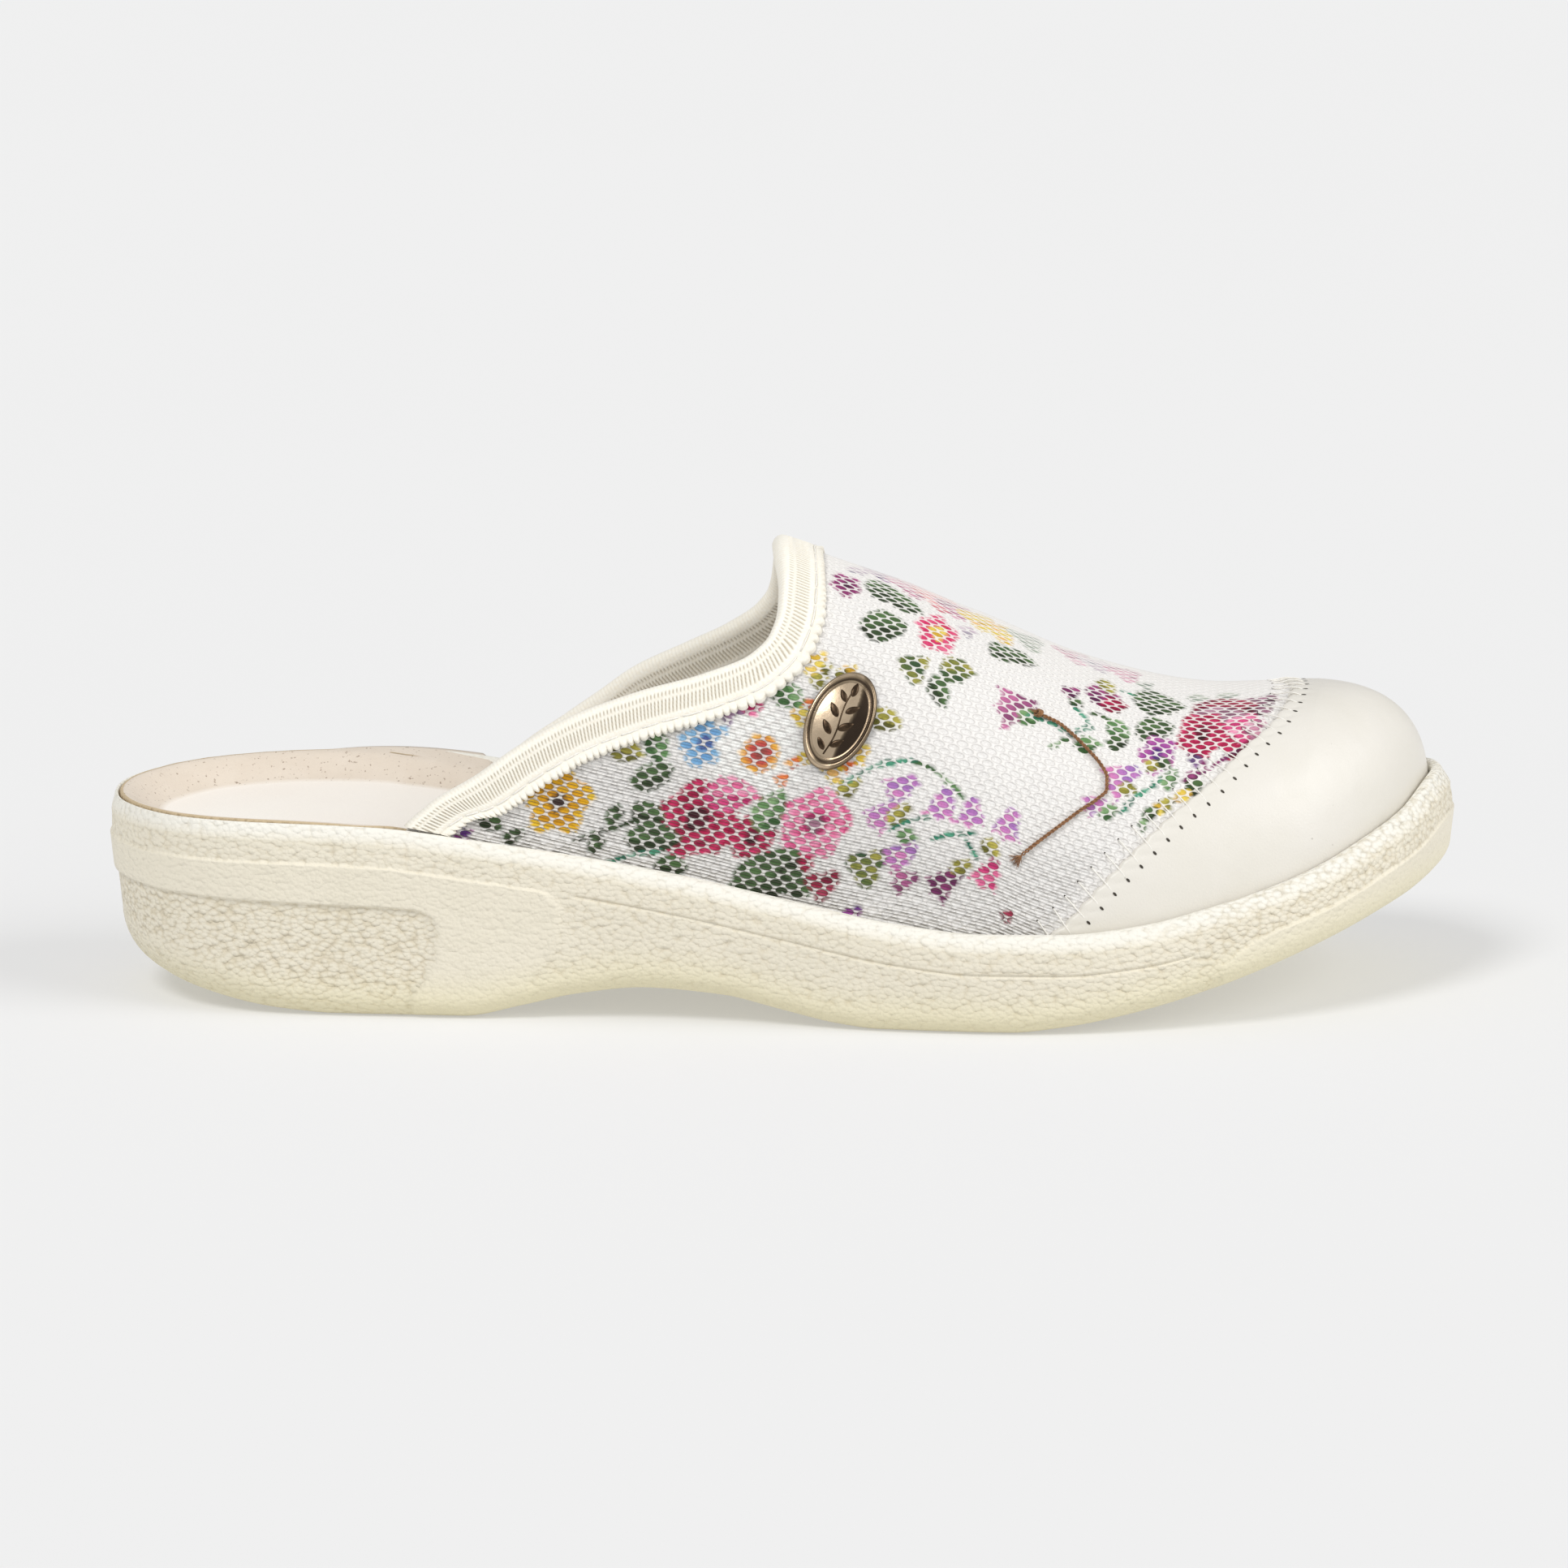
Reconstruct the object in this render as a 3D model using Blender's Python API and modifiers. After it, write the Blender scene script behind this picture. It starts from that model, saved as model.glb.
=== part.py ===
"""Right-foot comfort mule with a moulded wedge sole, a mesh vamp and a leather toe cap.

Metres, +Z up, +X towards the toe, +Y towards the inner (medial) side of the foot.
The origin is on the floor under the middle of the heel.
"""

import math

import bmesh
import bpy
import numpy as np
from mathutils import Vector

MM = 0.001
LATERAL = -1
MEDIAL = 1

# Driving sizes
SOLE_LENGTH = 257.0 * MM
BALL_WIDTH = 92.0 * MM
HEEL_HEIGHT = 37.5 * MM
VAMP_RISE = 61.0 * MM
TOE_SPRING = 23.5 * MM
ARCH_RISE = 6.2 * MM
HEEL_BEVEL = 8.0 * MM
ARCH_LIFT = 3.2 * MM

# Walls, laps and clearances
CLEARANCE = 0.3 * MM
VAMP_WALL = 1.8 * MM
CAP_THICKNESS = 0.9 * MM
CAP_BITE = 0.6 * MM
INSOLE_THICKNESS = 1.6 * MM
BINDING_THICKNESS = 0.8 * MM
BINDING_WIDTH = 7.6 * MM
# Below the first height over the rim the tape lies level, above the second it is square
# to the collar's edge.
LEVEL_HEIGHT = 2.0 * MM
TURNED_HEIGHT = 16.0 * MM
LIP_DEPTH = 4.0 * MM
RIM_WIDTH = 4.6 * MM
RIM_CROWN = 0.5 * MM
SEAT_LEDGE = 3.2 * MM
LEAST_LEDGE = 0.4 * MM
CUP_DEPTH = 4.3 * MM
CUP_RUN = 8.0 * MM

# Steps and rounding of the sole's side
BAND_HEIGHT = 7.0 * MM
BAND_LEAN = 1.3 * MM
BAND_STEP = 0.8 * MM
PLATE_PROUD = 0.5 * MM
WAIST_LINE_DEPTH = 0.35 * MM
WINDOW_DEPTH = 0.7 * MM
WINDOW_TOP_SHARE = 0.26
SIDE_DRAFT = 0.1
EDGE_ROUND = 12.0 * MM

# Tread grooves under the sole
GROOVE_WIDTH = 2.4 * MM
GROOVE_DEPTH = 1.2 * MM
GROOVE_PITCH = 8.0 * MM
GROOVE_MARGIN = 7.0 * MM
HEEL_TREAD = (0.096, 0.29)
FORE_TREAD = (0.539, 0.87)

# Badge and stitched thread on the vamp
BADGE_LENGTH = 19.5 * MM
BADGE_WIDTH = 12.2 * MM
BADGE_RIM = 1.6 * MM
BADGE_DOME = 1.3 * MM
BADGE_PLACE = (0.538, -53.7)
BADGE_TILT = 83.0
THREAD_DIAMETER = 1.2 * MM

# Resolution of the facets
SIDE_STATIONS = 38
VAMP_ROWS = 28
REAR_STATIONS = 9
MIDDLE_STATIONS = 6
FAN_STATIONS = 9
BINDING_SECTIONS = 36
BADGE_SIDES = 28
WALK_STEP = 1.3 * MM
MERGE_DISTANCE = 0.02 * MM

# The origin lies at this share of the length from the back of the heel.
ORIGIN_SHARE = 0.205
# The ridge of the vamp ends here, and the toe's sections fan out from its end.
FAN_SHARE = 0.90
# The vamp dips under the toe cap's edge over this share of the length.
BITE_SHARE = 0.013

# Outline of the sole: lateral x, lateral y, medial x, medial y.
# Shares of SOLE_LENGTH and BALL_WIDTH, from the back of the heel to the toe.
OUTLINE = (
    (0.000, 0.000, 0.000, 0.000),
    (0.010, -0.134, 0.010, 0.134),
    (0.045, -0.258, 0.045, 0.258),
    (0.100, -0.322, 0.100, 0.322),
    (0.180, -0.345, 0.180, 0.345),
    (0.270, -0.358, 0.270, 0.348),
    (0.370, -0.374, 0.370, 0.338),
    (0.470, -0.408, 0.470, 0.342),
    (0.570, -0.455, 0.570, 0.385),
    (0.660, -0.484, 0.660, 0.448),
    (0.742, -0.478, 0.742, 0.500),
    (0.818, -0.430, 0.826, 0.507),
    (0.884, -0.350, 0.900, 0.460),
    (0.936, -0.240, 0.954, 0.368),
    (0.976, -0.105, 0.986, 0.240),
    (1.000, 0.075, 1.000, 0.075),
)

# Heights along the shoe: share of the length, then rim of the sole as a share of
# HEEL_HEIGHT, lift of the medial rim of ARCH_LIFT, rise of the vamp's ridge of
# VAMP_RISE, sideways place of the ridge of BALL_WIDTH.
HEIGHTS = (
    (0.00, 1.010, 0.0, 1.200, 0.020),
    (0.10, 1.005, 0.3, 1.190, 0.020),
    (0.20, 0.985, 0.7, 1.165, 0.020),
    (0.27, 0.925, 1.0, 1.140, 0.020),
    (0.34, 0.855, 0.95, 1.105, 0.020),
    (0.42, 0.762, 0.6, 1.055, 0.022),
    (0.50, 0.650, 0.3, 1.003, 0.025),
    (0.58, 0.545, 0.1, 0.946, 0.035),
    (0.64, 0.505, 0.0, 0.862, 0.045),
    (0.70, 0.505, 0.0, 0.748, 0.052),
    (0.76, 0.541, 0.0, 0.641, 0.058),
    (0.82, 0.625, 0.0, 0.545, 0.062),
    (0.86, 0.690, 0.0, 0.507, 0.065),
    (0.90, 0.772, 0.0, 0.457, 0.068),
    (0.94, 0.880, 0.0, 0.400, 0.070),
    (0.97, 0.970, 0.0, 0.350, 0.075),
    (1.00, 1.085, 0.0, 0.300, 0.080),
)

# Underside: share of the length, then shares of HEEL_BEVEL, ARCH_RISE, TOE_SPRING.
UNDERSIDE = (
    (0.000, 1.00, 0.00, 0.000),
    (0.030, 0.76, 0.00, 0.000),
    (0.060, 0.49, 0.00, 0.000),
    (0.100, 0.22, 0.00, 0.000),
    (0.140, 0.06, 0.00, 0.000),
    (0.170, 0.00, 0.00, 0.000),
    (0.265, 0.00, 0.00, 0.000),
    (0.310, 0.00, 0.38, 0.000),
    (0.350, 0.00, 0.76, 0.000),
    (0.400, 0.00, 1.00, 0.000),
    (0.455, 0.00, 0.86, 0.000),
    (0.500, 0.00, 0.46, 0.000),
    (0.540, 0.00, 0.12, 0.000),
    (0.570, 0.00, 0.00, 0.000),
    (0.665, 0.00, 0.00, 0.000),
    (0.700, 0.00, 0.00, 0.040),
    (0.760, 0.00, 0.00, 0.165),
    (0.820, 0.00, 0.00, 0.340),
    (0.880, 0.00, 0.00, 0.555),
    (0.940, 0.00, 0.00, 0.780),
    (0.970, 0.00, 0.00, 0.890),
    (1.000, 0.00, 0.00, 1.000),
)

# Edge of the sole: share of the length, then rim width of RIM_WIDTH, lip depth of
# LIP_DEPTH, ledge of SEAT_LEDGE, cup of CUP_DEPTH, lower rounding of EDGE_ROUND and
# lean of the upper band of BAND_LEAN.
EDGE = (
    (0.00, 0.40, 0.38, 0.25, 1.00, 1.00, 0.45),
    (0.05, 0.40, 0.38, 0.25, 1.00, 0.85, 0.40),
    (0.12, 0.42, 0.38, 0.25, 1.00, 0.55, 0.30),
    (0.20, 0.50, 0.50, 0.60, 1.00, 0.45, 0.30),
    (0.28, 0.75, 0.85, 1.00, 0.85, 0.42, 0.30),
    (0.40, 0.95, 1.00, 1.00, 0.60, 0.42, 0.30),
    (0.60, 1.00, 1.00, 1.00, 0.30, 0.42, 0.30),
    (0.80, 1.00, 1.00, 1.00, 0.25, 0.45, 0.45),
    (0.92, 1.00, 1.00, 1.00, 0.25, 0.55, 0.90),
    (1.00, 1.00, 1.00, 1.00, 0.25, 0.62, 1.20),
)

# Steps below the sole's upper band: share of the length, then the proud plates of
# heel and toe of PLATE_PROUD, the waist line of WAIST_LINE_DEPTH and the recessed
# heel window of WINDOW_DEPTH.
SIDE_STEPS = (
    (0.000, 1.0, 0.0, 1.0),
    (0.235, 1.0, 0.0, 1.0),
    (0.250, 1.0, 0.0, 0.0),
    (0.322, 1.0, 0.0, 0.0),
    (0.338, 0.0, 0.0, 0.0),
    (0.360, 0.0, 1.0, 0.0),
    (0.780, 0.0, 1.0, 0.0),
    (0.805, 0.0, 0.0, 0.0),
    (0.830, 1.0, 0.0, 0.0),
    (1.000, 1.0, 0.0, 0.0),
)

# Collar of the vamp: angle from the ridge in degrees, then the share of the length
# where the edge lies on the lateral and on the medial side.
COLLAR = (
    (0, 0.500, 0.500),
    (20, 0.500, 0.500),
    (33, 0.498, 0.498),
    (41, 0.491, 0.494),
    (47, 0.476, 0.484),
    (54, 0.439, 0.460),
    (60, 0.393, 0.430),
    (67, 0.342, 0.391),
    (73, 0.306, 0.364),
    (78, 0.279, 0.340),
    (84, 0.243, 0.308),
    (90, 0.222, 0.285),
)

# Rear edge of the toe cap: angle from the ridge in degrees, share of the length.
CAP_EDGE = (
    (0, 0.8775),
    (12, 0.877),
    (22, 0.8725),
    (30, 0.865),
    (39, 0.8445),
    (49, 0.819),
    (58, 0.7865),
    (66, 0.760),
    (74, 0.734),
    (82, 0.709),
    (90, 0.684),
)

# Fullness of the vamp's sections beyond an ellipse: share, lateral, medial.
FULLNESS = (
    (0.20, 0.03, 0.04),
    (0.50, 0.04, 0.06),
    (0.70, 0.04, 0.07),
    (0.88, 0.05, 0.06),
    (1.00, 0.05, 0.05),
)

# Route of the couched thread on the vamp: share of the length, angle.
THREAD_ROUTE = (
    (0.6846, -37.7),
    (0.6980, -38.1),
    (0.7100, -40.1),
    (0.7222, -43.4),
    (0.7315, -46.4),
    (0.7364, -49.5),
    (0.7363, -52.4),
    (0.7280, -55.4),
    (0.7155, -58.4),
    (0.6968, -63.4),
    (0.6846, -66.6),
    (0.6712, -70.1),
)


def column(table, index):
    """A monotone cubic through one column of a table, against its first column."""
    xs = np.array([row[0] for row in table], float)
    ys = np.array([row[index] for row in table], float)
    widths = np.diff(xs)
    slopes = np.diff(ys) / widths
    tangents = np.zeros(len(xs))
    for i in range(1, len(xs) - 1):
        if slopes[i - 1] * slopes[i] > 0:
            w1 = 2 * widths[i] + widths[i - 1]
            w2 = widths[i] + 2 * widths[i - 1]
            tangents[i] = (w1 + w2) / (w1 / slopes[i - 1] + w2 / slopes[i])

    def value(x):
        x = min(max(x, xs[0]), xs[-1])
        i = min(int(np.searchsorted(xs, x, side="right")) - 1, len(widths) - 1)
        h = widths[i]
        s = (x - xs[i]) / h
        return (
            ys[i] * (1 + 2 * s) * (1 - s) ** 2
            + tangents[i] * h * s * (1 - s) ** 2
            + ys[i + 1] * s * s * (3 - 2 * s)
            + tangents[i + 1] * h * s * s * (s - 1)
        )

    return value


rim_share = column(HEIGHTS, 1)
medial_lift = column(HEIGHTS, 2)
ridge_rise = column(HEIGHTS, 3)
ridge_side = column(HEIGHTS, 4)
heel_bevel = column(UNDERSIDE, 1)
arch_rise = column(UNDERSIDE, 2)
toe_spring = column(UNDERSIDE, 3)
rim_width_share = column(EDGE, 1)
lip_share = column(EDGE, 2)
ledge_share = column(EDGE, 3)
cup_share = column(EDGE, 4)
round_share = column(EDGE, 5)
lean_share = column(EDGE, 6)
plate_share = column(SIDE_STEPS, 1)
waist_share = column(SIDE_STEPS, 2)
window_share = column(SIDE_STEPS, 3)
collar_of = {LATERAL: column(COLLAR, 1), MEDIAL: column(COLLAR, 2)}
cap_edge = column(CAP_EDGE, 1)
fullness_of = {LATERAL: column(FULLNESS, 1), MEDIAL: column(FULLNESS, 2)}


def smooth(low, high, x):
    s = min(max((x - low) / (high - low), 0.0), 1.0)
    return s * s * (3 - 2 * s)


def share_of(x):
    return x / SOLE_LENGTH + ORIGIN_SHARE


def outline_row(side, i):
    """Row i of the outline on one side, going on round the ends of the sole."""
    last = len(OUTLINE) - 1
    if i < 0 or i > last:
        side, i = -side, abs(i) if i < 0 else 2 * last - i
    row = OUTLINE[i]
    x, y = (row[0], row[1]) if side == LATERAL else (row[2], row[3])
    return np.array([(x - ORIGIN_SHARE) * SOLE_LENGTH, y * BALL_WIDTH])


def outline(side, a):
    """Point and inward normal, in plan, at station a from the heel 0 to the toe."""
    i = min(int(a), len(OUTLINE) - 2)
    s = a - i
    p0, p1, p2, p3 = (outline_row(side, i + k) for k in (-1, 0, 1, 2))
    m1, m2 = (p2 - p0) / 2, (p3 - p1) / 2
    point = (
        p1 * (1 + 2 * s) * (1 - s) ** 2
        + m1 * s * (1 - s) ** 2
        + p2 * s * s * (3 - 2 * s)
        + m2 * s * s * (s - 1)
    )
    tangent = (
        (p2 - p1) * 6 * s * (1 - s)
        + m1 * (1 - s) * (1 - 3 * s)
        + m2 * s * (3 * s - 2)
    )
    tangent = tangent / np.linalg.norm(tangent)
    return point, side * np.array([tangent[1], -tangent[0]])


LAST_STATION = float(len(OUTLINE) - 1)
_stations = np.linspace(0.0, LAST_STATION, 601)
_middles = np.array(
    [
        (outline(LATERAL, a)[0][0] + outline(MEDIAL, a)[0][0]) / 2
        for a in _stations
    ]
)


def station_at(share):
    """The station whose section lies at this share of the length."""
    return float(np.interp((share - ORIGIN_SHARE) * SOLE_LENGTH, _middles, _stations))


def rim_height(side, share):
    lift = ARCH_LIFT * medial_lift(share) if side == MEDIAL else 0.0
    return HEEL_HEIGHT * rim_share(share) + lift


def underside(share):
    return (
        HEEL_BEVEL * heel_bevel(share)
        + ARCH_RISE * arch_rise(share)
        + TOE_SPRING * toe_spring(share)
    )


def inset_point(side, a, inset, height):
    """A point at a plan distance inside the outline, at a height."""
    point, inward = outline(side, a)
    x, y = point + inward * inset
    return Vector((x, y, height))


# Surface of the vamp


def vamp_gap(share):
    """Plan distance between the rim's inner wall and the vamp, with room for the cap."""
    under_cap = smooth(CAP_EDGE[-1][1] - 0.04, CAP_EDGE[-1][1] - 0.004, share)
    return CLEARANCE + (CAP_THICKNESS + CLEARANCE) * under_cap


def vamp_base(side, a):
    """Where the outer face of the vamp stands on the sole's seat."""
    share = share_of(outline(side, a)[0][0])
    inset = RIM_WIDTH * rim_width_share(share) + vamp_gap(share)
    height = rim_height(side, share) - LIP_DEPTH * lip_share(share) + CLEARANCE
    return inset_point(side, a, inset, height)


def ridge_point(a):
    """The top of the section at station a, held at the fan centre near the toe."""
    share = min(share_of(float(np.interp(a, _stations, _middles))), FAN_SHARE)
    return Vector(
        (
            (share - ORIGIN_SHARE) * SOLE_LENGTH,
            BALL_WIDTH * ridge_side(share),
            HEEL_HEIGHT * rim_share(share) + VAMP_RISE * ridge_rise(share),
        )
    )


def vamp_point(a, angle):
    """The outer face of the vamp: station and angle in degrees from its ridge."""
    side = LATERAL if angle < 0 else MEDIAL
    base, ridge = vamp_base(side, a), ridge_point(a)
    turn = math.radians(abs(angle))
    share = share_of(float(np.interp(a, _stations, _middles)))
    swell = 1 + fullness_of[side](share) * math.sin(2 * turn) ** 2
    across = (base.xy - ridge.xy) * (math.sin(turn) * swell)
    up = (ridge.z - base.z) * math.cos(turn) * swell
    edge = cap_edge(abs(angle))
    bite = CAP_BITE * smooth(edge - BITE_SHARE, edge, share) * math.cos(turn)
    return Vector((ridge.x + across.x, ridge.y + across.y, base.z + up - bite))


def vamp_frame(a, angle):
    """Point, both slopes and the outward normal of the vamp's outer face."""
    step_a, step_angle = 0.01, 0.2
    along = (vamp_point(a + step_a, angle) - vamp_point(a - step_a, angle)) / (2 * step_a)
    around = vamp_point(a, angle + step_angle) - vamp_point(a, angle - step_angle)
    around /= 2 * step_angle
    return vamp_point(a, angle), along, around, around.cross(along).normalized() * -1


def walk(a, angle, direction, distance, step=WALK_STEP):
    """Follows the vamp's outer face from one place, in a direction, for a distance."""
    steps = max(1, math.ceil(abs(distance) / step))
    for _ in range(steps):
        _, along, around, normal = vamp_frame(a, angle)
        flat = (direction - normal * direction.dot(normal)).normalized()
        flat *= distance / steps
        slopes = np.array([along, around]).T
        da, dangle = np.linalg.lstsq(slopes, np.array(flat), rcond=None)[0]
        a, angle = a + float(da), angle + float(dangle)
    return a, angle


# Mesh helpers


def material(name, colour, roughness, metallic=0.0):
    made = bpy.data.materials.new(name)
    made.use_nodes = True
    shader = made.node_tree.nodes["Principled BSDF"]
    shader.inputs["Base Color"].default_value = (*colour, 1.0)
    shader.inputs["Roughness"].default_value = roughness
    shader.inputs["Metallic"].default_value = metallic
    return made


def add_grid(mesh, rows, closed=False):
    """Quads between successive rows of points. Closed rows join end to start."""
    made = [[mesh.verts.new(p) for p in row] for row in rows]
    for near, far in zip(made, made[1:]):
        count = len(near)
        for i in range(count if closed else count - 1):
            j = (i + 1) % count
            mesh.faces.new((near[i], near[j], far[j], far[i]))
    return made


def finish_mesh(name, mesh, collection, surface, solid=True):
    """Welds a bmesh, turns its faces outwards and makes the named object."""
    bmesh.ops.remove_doubles(mesh, verts=mesh.verts, dist=MERGE_DISTANCE)
    bmesh.ops.dissolve_degenerate(mesh, edges=mesh.edges, dist=MERGE_DISTANCE / 2)
    if solid:
        bmesh.ops.recalc_face_normals(mesh, faces=mesh.faces)
    data = bpy.data.meshes.new(name)
    mesh.to_mesh(data)
    mesh.free()
    data.materials.append(surface)
    data.shade_smooth()
    made = bpy.data.objects.new(name, data)
    collection.objects.link(made)
    return made


# Sole


def side_stations():
    return [LAST_STATION * i / SIDE_STATIONS for i in range(SIDE_STATIONS + 1)]


def loop_places():
    """Side and station all round the sole: lateral heel to toe, medial back."""
    stations = side_stations()
    return [(LATERAL, a) for a in stations] + [(MEDIAL, a) for a in stations[-2:0:-1]]


def seat_height(side, share):
    return rim_height(side, share) - LIP_DEPTH * lip_share(share)


def seat_levels(share):
    """Plan distance from the rim's inner wall and depth below the ledge, in steps."""
    ledge = SEAT_LEDGE * ledge_share(share)
    cup = CUP_DEPTH * cup_share(share)
    return (
        (ledge, 0.0),
        (ledge + CUP_RUN * 0.3, cup * 0.28),
        (ledge + CUP_RUN * 0.7, cup * 0.86),
        (ledge + CUP_RUN, cup),
    )


def sole_section(side, a):
    """One section of the sole, from the middle of its seat out and down to the tread."""
    share = share_of(outline(side, a)[0][0])
    rim = rim_height(side, share)
    width = RIM_WIDTH * rim_width_share(share)
    seat = seat_height(side, share)
    points = [
        inset_point(side, a, width + distance, seat - depth)
        for distance, depth in reversed(seat_levels(share))
    ]
    points.append(inset_point(side, a, width, seat))
    lean = BAND_LEAN * lean_share(share)
    crest = width - lean
    points.append(inset_point(side, a, width, rim - 0.1 * LIP_DEPTH))
    points.append(inset_point(side, a, lean + crest * 0.75, rim + 0.6 * RIM_CROWN))
    points.append(inset_point(side, a, lean + crest * 0.4, rim + 0.6 * RIM_CROWN))
    points.append(inset_point(side, a, lean + crest * 0.12, rim - 0.13 * BAND_HEIGHT))
    points.append(inset_point(side, a, lean * 0.5, rim - 0.4 * BAND_HEIGHT))

    rounding = EDGE_ROUND * round_share(share)
    flat_inset = SIDE_DRAFT * rim + rounding * 0.8
    floor = underside(share_of(inset_point(side, a, flat_inset, 0.0).x))
    depth = rim - floor
    window_top = BAND_HEIGHT + WINDOW_TOP_SHARE * (depth - BAND_HEIGHT)
    step = PLATE_PROUD * plate_share(share) - WAIST_LINE_DEPTH * waist_share(share)
    recess = WINDOW_DEPTH * window_share(share)

    def drafted(below):
        return SIDE_DRAFT * max(below - 0.4 * BAND_HEIGHT, 0.0)

    half_step = BAND_STEP / 2
    lower = depth - rounding
    for below, proud in (
        (BAND_HEIGHT - half_step, 0.0),
        (BAND_HEIGHT + half_step, step),
        (window_top - half_step, step),
        (window_top + half_step, step - recess),
        (max(lower, window_top + 1.5 * BAND_STEP), step - recess),
    ):
        points.append(inset_point(side, a, drafted(below) - proud, rim - below))
    points.append(inset_point(side, a, drafted(lower) + rounding * 0.12, floor + rounding * 0.5))
    points.append(inset_point(side, a, drafted(lower) + rounding * 0.38, floor + rounding * 0.16))
    points.append(inset_point(side, a, flat_inset, floor))
    return points


def cross_strip(mesh, sections, index):
    """Closes the loop of section points at this index with strips across the shoe."""
    count = SIDE_STATIONS + 1
    lateral = [sections[i][index] for i in range(count)]
    medial = [sections[0][index]]
    medial += [sections[len(sections) - i][index] for i in range(1, count - 1)]
    medial.append(sections[count - 1][index])
    add_grid(mesh, [lateral, medial])


def tread_cutters(collection):
    """Straight grooves across the tread that stop short of its edge."""
    pitch = GROOVE_PITCH / SOLE_LENGTH
    cutters = []
    for start, end in (HEEL_TREAD, FORE_TREAD):
        for i in range(int((end - start) / pitch) + 1):
            share = start + i * pitch
            a = station_at(share)
            low = outline(LATERAL, a)[0][1] + GROOVE_MARGIN + EDGE_ROUND * round_share(share)
            high = outline(MEDIAL, a)[0][1] - GROOVE_MARGIN - EDGE_ROUND * round_share(share)
            centre = ((share - ORIGIN_SHARE) * SOLE_LENGTH, (low + high) / 2, underside(share))
            slope = (underside(share + pitch / 4) - underside(share - pitch / 4)) / (GROOVE_PITCH / 2)
            mesh = bmesh.new()
            bmesh.ops.create_cube(mesh, size=1.0)
            bmesh.ops.scale(mesh, verts=mesh.verts, vec=(GROOVE_WIDTH, high - low, 2 * GROOVE_DEPTH))
            data = bpy.data.meshes.new("groove_cutter")
            mesh.to_mesh(data)
            mesh.free()
            cutter = bpy.data.objects.new("groove_cutter", data)
            cutter.location = centre
            cutter.rotation_euler = (0.0, -math.atan(slope), 0.0)
            cutter.hide_render = True
            cutter.display_type = "WIRE"
            collection.objects.link(cutter)
            cutters.append(cutter)
    return cutters


def make_sole(collection, cutters):
    sections = [sole_section(side, a) for side, a in loop_places()]
    mesh = bmesh.new()
    rows = [[section[k] for section in sections] for k in range(len(sections[0]))]
    add_grid(mesh, rows, closed=True)
    cross_strip(mesh, sections, 0)
    cross_strip(mesh, sections, len(sections[0]) - 1)
    sole = finish_mesh("sole", mesh, collection, material("sole_foam", (0.87, 0.85, 0.74), 0.55))
    for cutter in tread_cutters(cutters):
        cut = sole.modifiers.new("tread_groove", "BOOLEAN")
        cut.operation = "DIFFERENCE"
        cut.solver = "EXACT"
        cut.object = cutter
    return sole


# Insole


def insole_inset(share):
    """Plan distance of the insole's edge from the rim's inner wall."""
    inside_vamp = vamp_gap(share) + VAMP_WALL + CLEARANCE
    return CLEARANCE + inside_vamp * smooth(0.185, 0.218, share)


def insole_section(side, a, lift):
    share = share_of(outline(side, a)[0][0])
    width = RIM_WIDTH * rim_width_share(share)
    seat = seat_height(side, share) + lift
    edge = insole_inset(share)
    levels = list(seat_levels(share))
    ledge = max(levels[0][0], edge + LEAST_LEDGE)
    levels[0] = (ledge, levels[0][1])
    points = [
        inset_point(side, a, width + distance, seat - depth)
        for distance, depth in reversed(levels)
    ]
    points.append(inset_point(side, a, width + edge, seat))
    return points


def make_insole(collection):
    mesh = bmesh.new()
    edges = []
    for lift in (CLEARANCE, CLEARANCE + INSOLE_THICKNESS):
        sections = [insole_section(side, a, lift) for side, a in loop_places()]
        rows = [[section[k] for section in sections] for k in range(len(sections[0]))]
        add_grid(mesh, rows, closed=True)
        cross_strip(mesh, sections, 0)
        edges.append(rows[-1])
    add_grid(mesh, edges, closed=True)
    return finish_mesh("insole", mesh, collection, material("insole_leather", (0.90, 0.82, 0.76), 0.7))


# Vamp and toe cap


def spread(start, end, count):
    """Steps from just after start up to end."""
    return [start + (end - start) * k / count for k in range(1, count + 1)]


def cap_stations(angle):
    """Stations from the cap's rear edge to the middle line of the toe."""
    edge, fan = station_at(cap_edge(abs(angle))), station_at(FAN_SHARE)
    return [edge] + spread(edge, fan, MIDDLE_STATIONS) + spread(fan, LAST_STATION, FAN_STATIONS)


def vamp_stations(angle):
    """Stations from the collar, through the dip at the cap's edge, to the toe."""
    side = LATERAL if angle < 0 else MEDIAL
    start = station_at(collar_of[side](abs(angle)))
    dip = station_at(cap_edge(abs(angle)) - BITE_SHARE)
    return [start] + spread(start, dip, REAR_STATIONS) + cap_stations(angle)


def upper_grid(stations_of):
    """Rows of points on the vamp's outer face, one for each angle."""
    angles = [180.0 * j / VAMP_ROWS - 90.0 for j in range(VAMP_ROWS + 1)]
    return [[vamp_point(a, angle) for a in stations_of(angle)] for angle in angles]


def make_vamp(collection):
    mesh = bmesh.new()
    add_grid(mesh, upper_grid(vamp_stations))
    vamp = finish_mesh("vamp", mesh, collection, material("printed_mesh", (0.86, 0.80, 0.82), 0.6))
    wall = vamp.modifiers.new("wall", "SOLIDIFY")
    wall.thickness = VAMP_WALL
    wall.offset = -1.0
    wall.use_even_offset = True
    return vamp


def make_toe_cap(collection):
    """The cap lies over the vamp and stands on the same seat of the sole."""
    mesh = bmesh.new()
    add_grid(mesh, upper_grid(cap_stations))
    cap = finish_mesh("toe_cap", mesh, collection, material("cap_leather", (0.90, 0.89, 0.84), 0.45))
    return cap


# Collar binding


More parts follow.
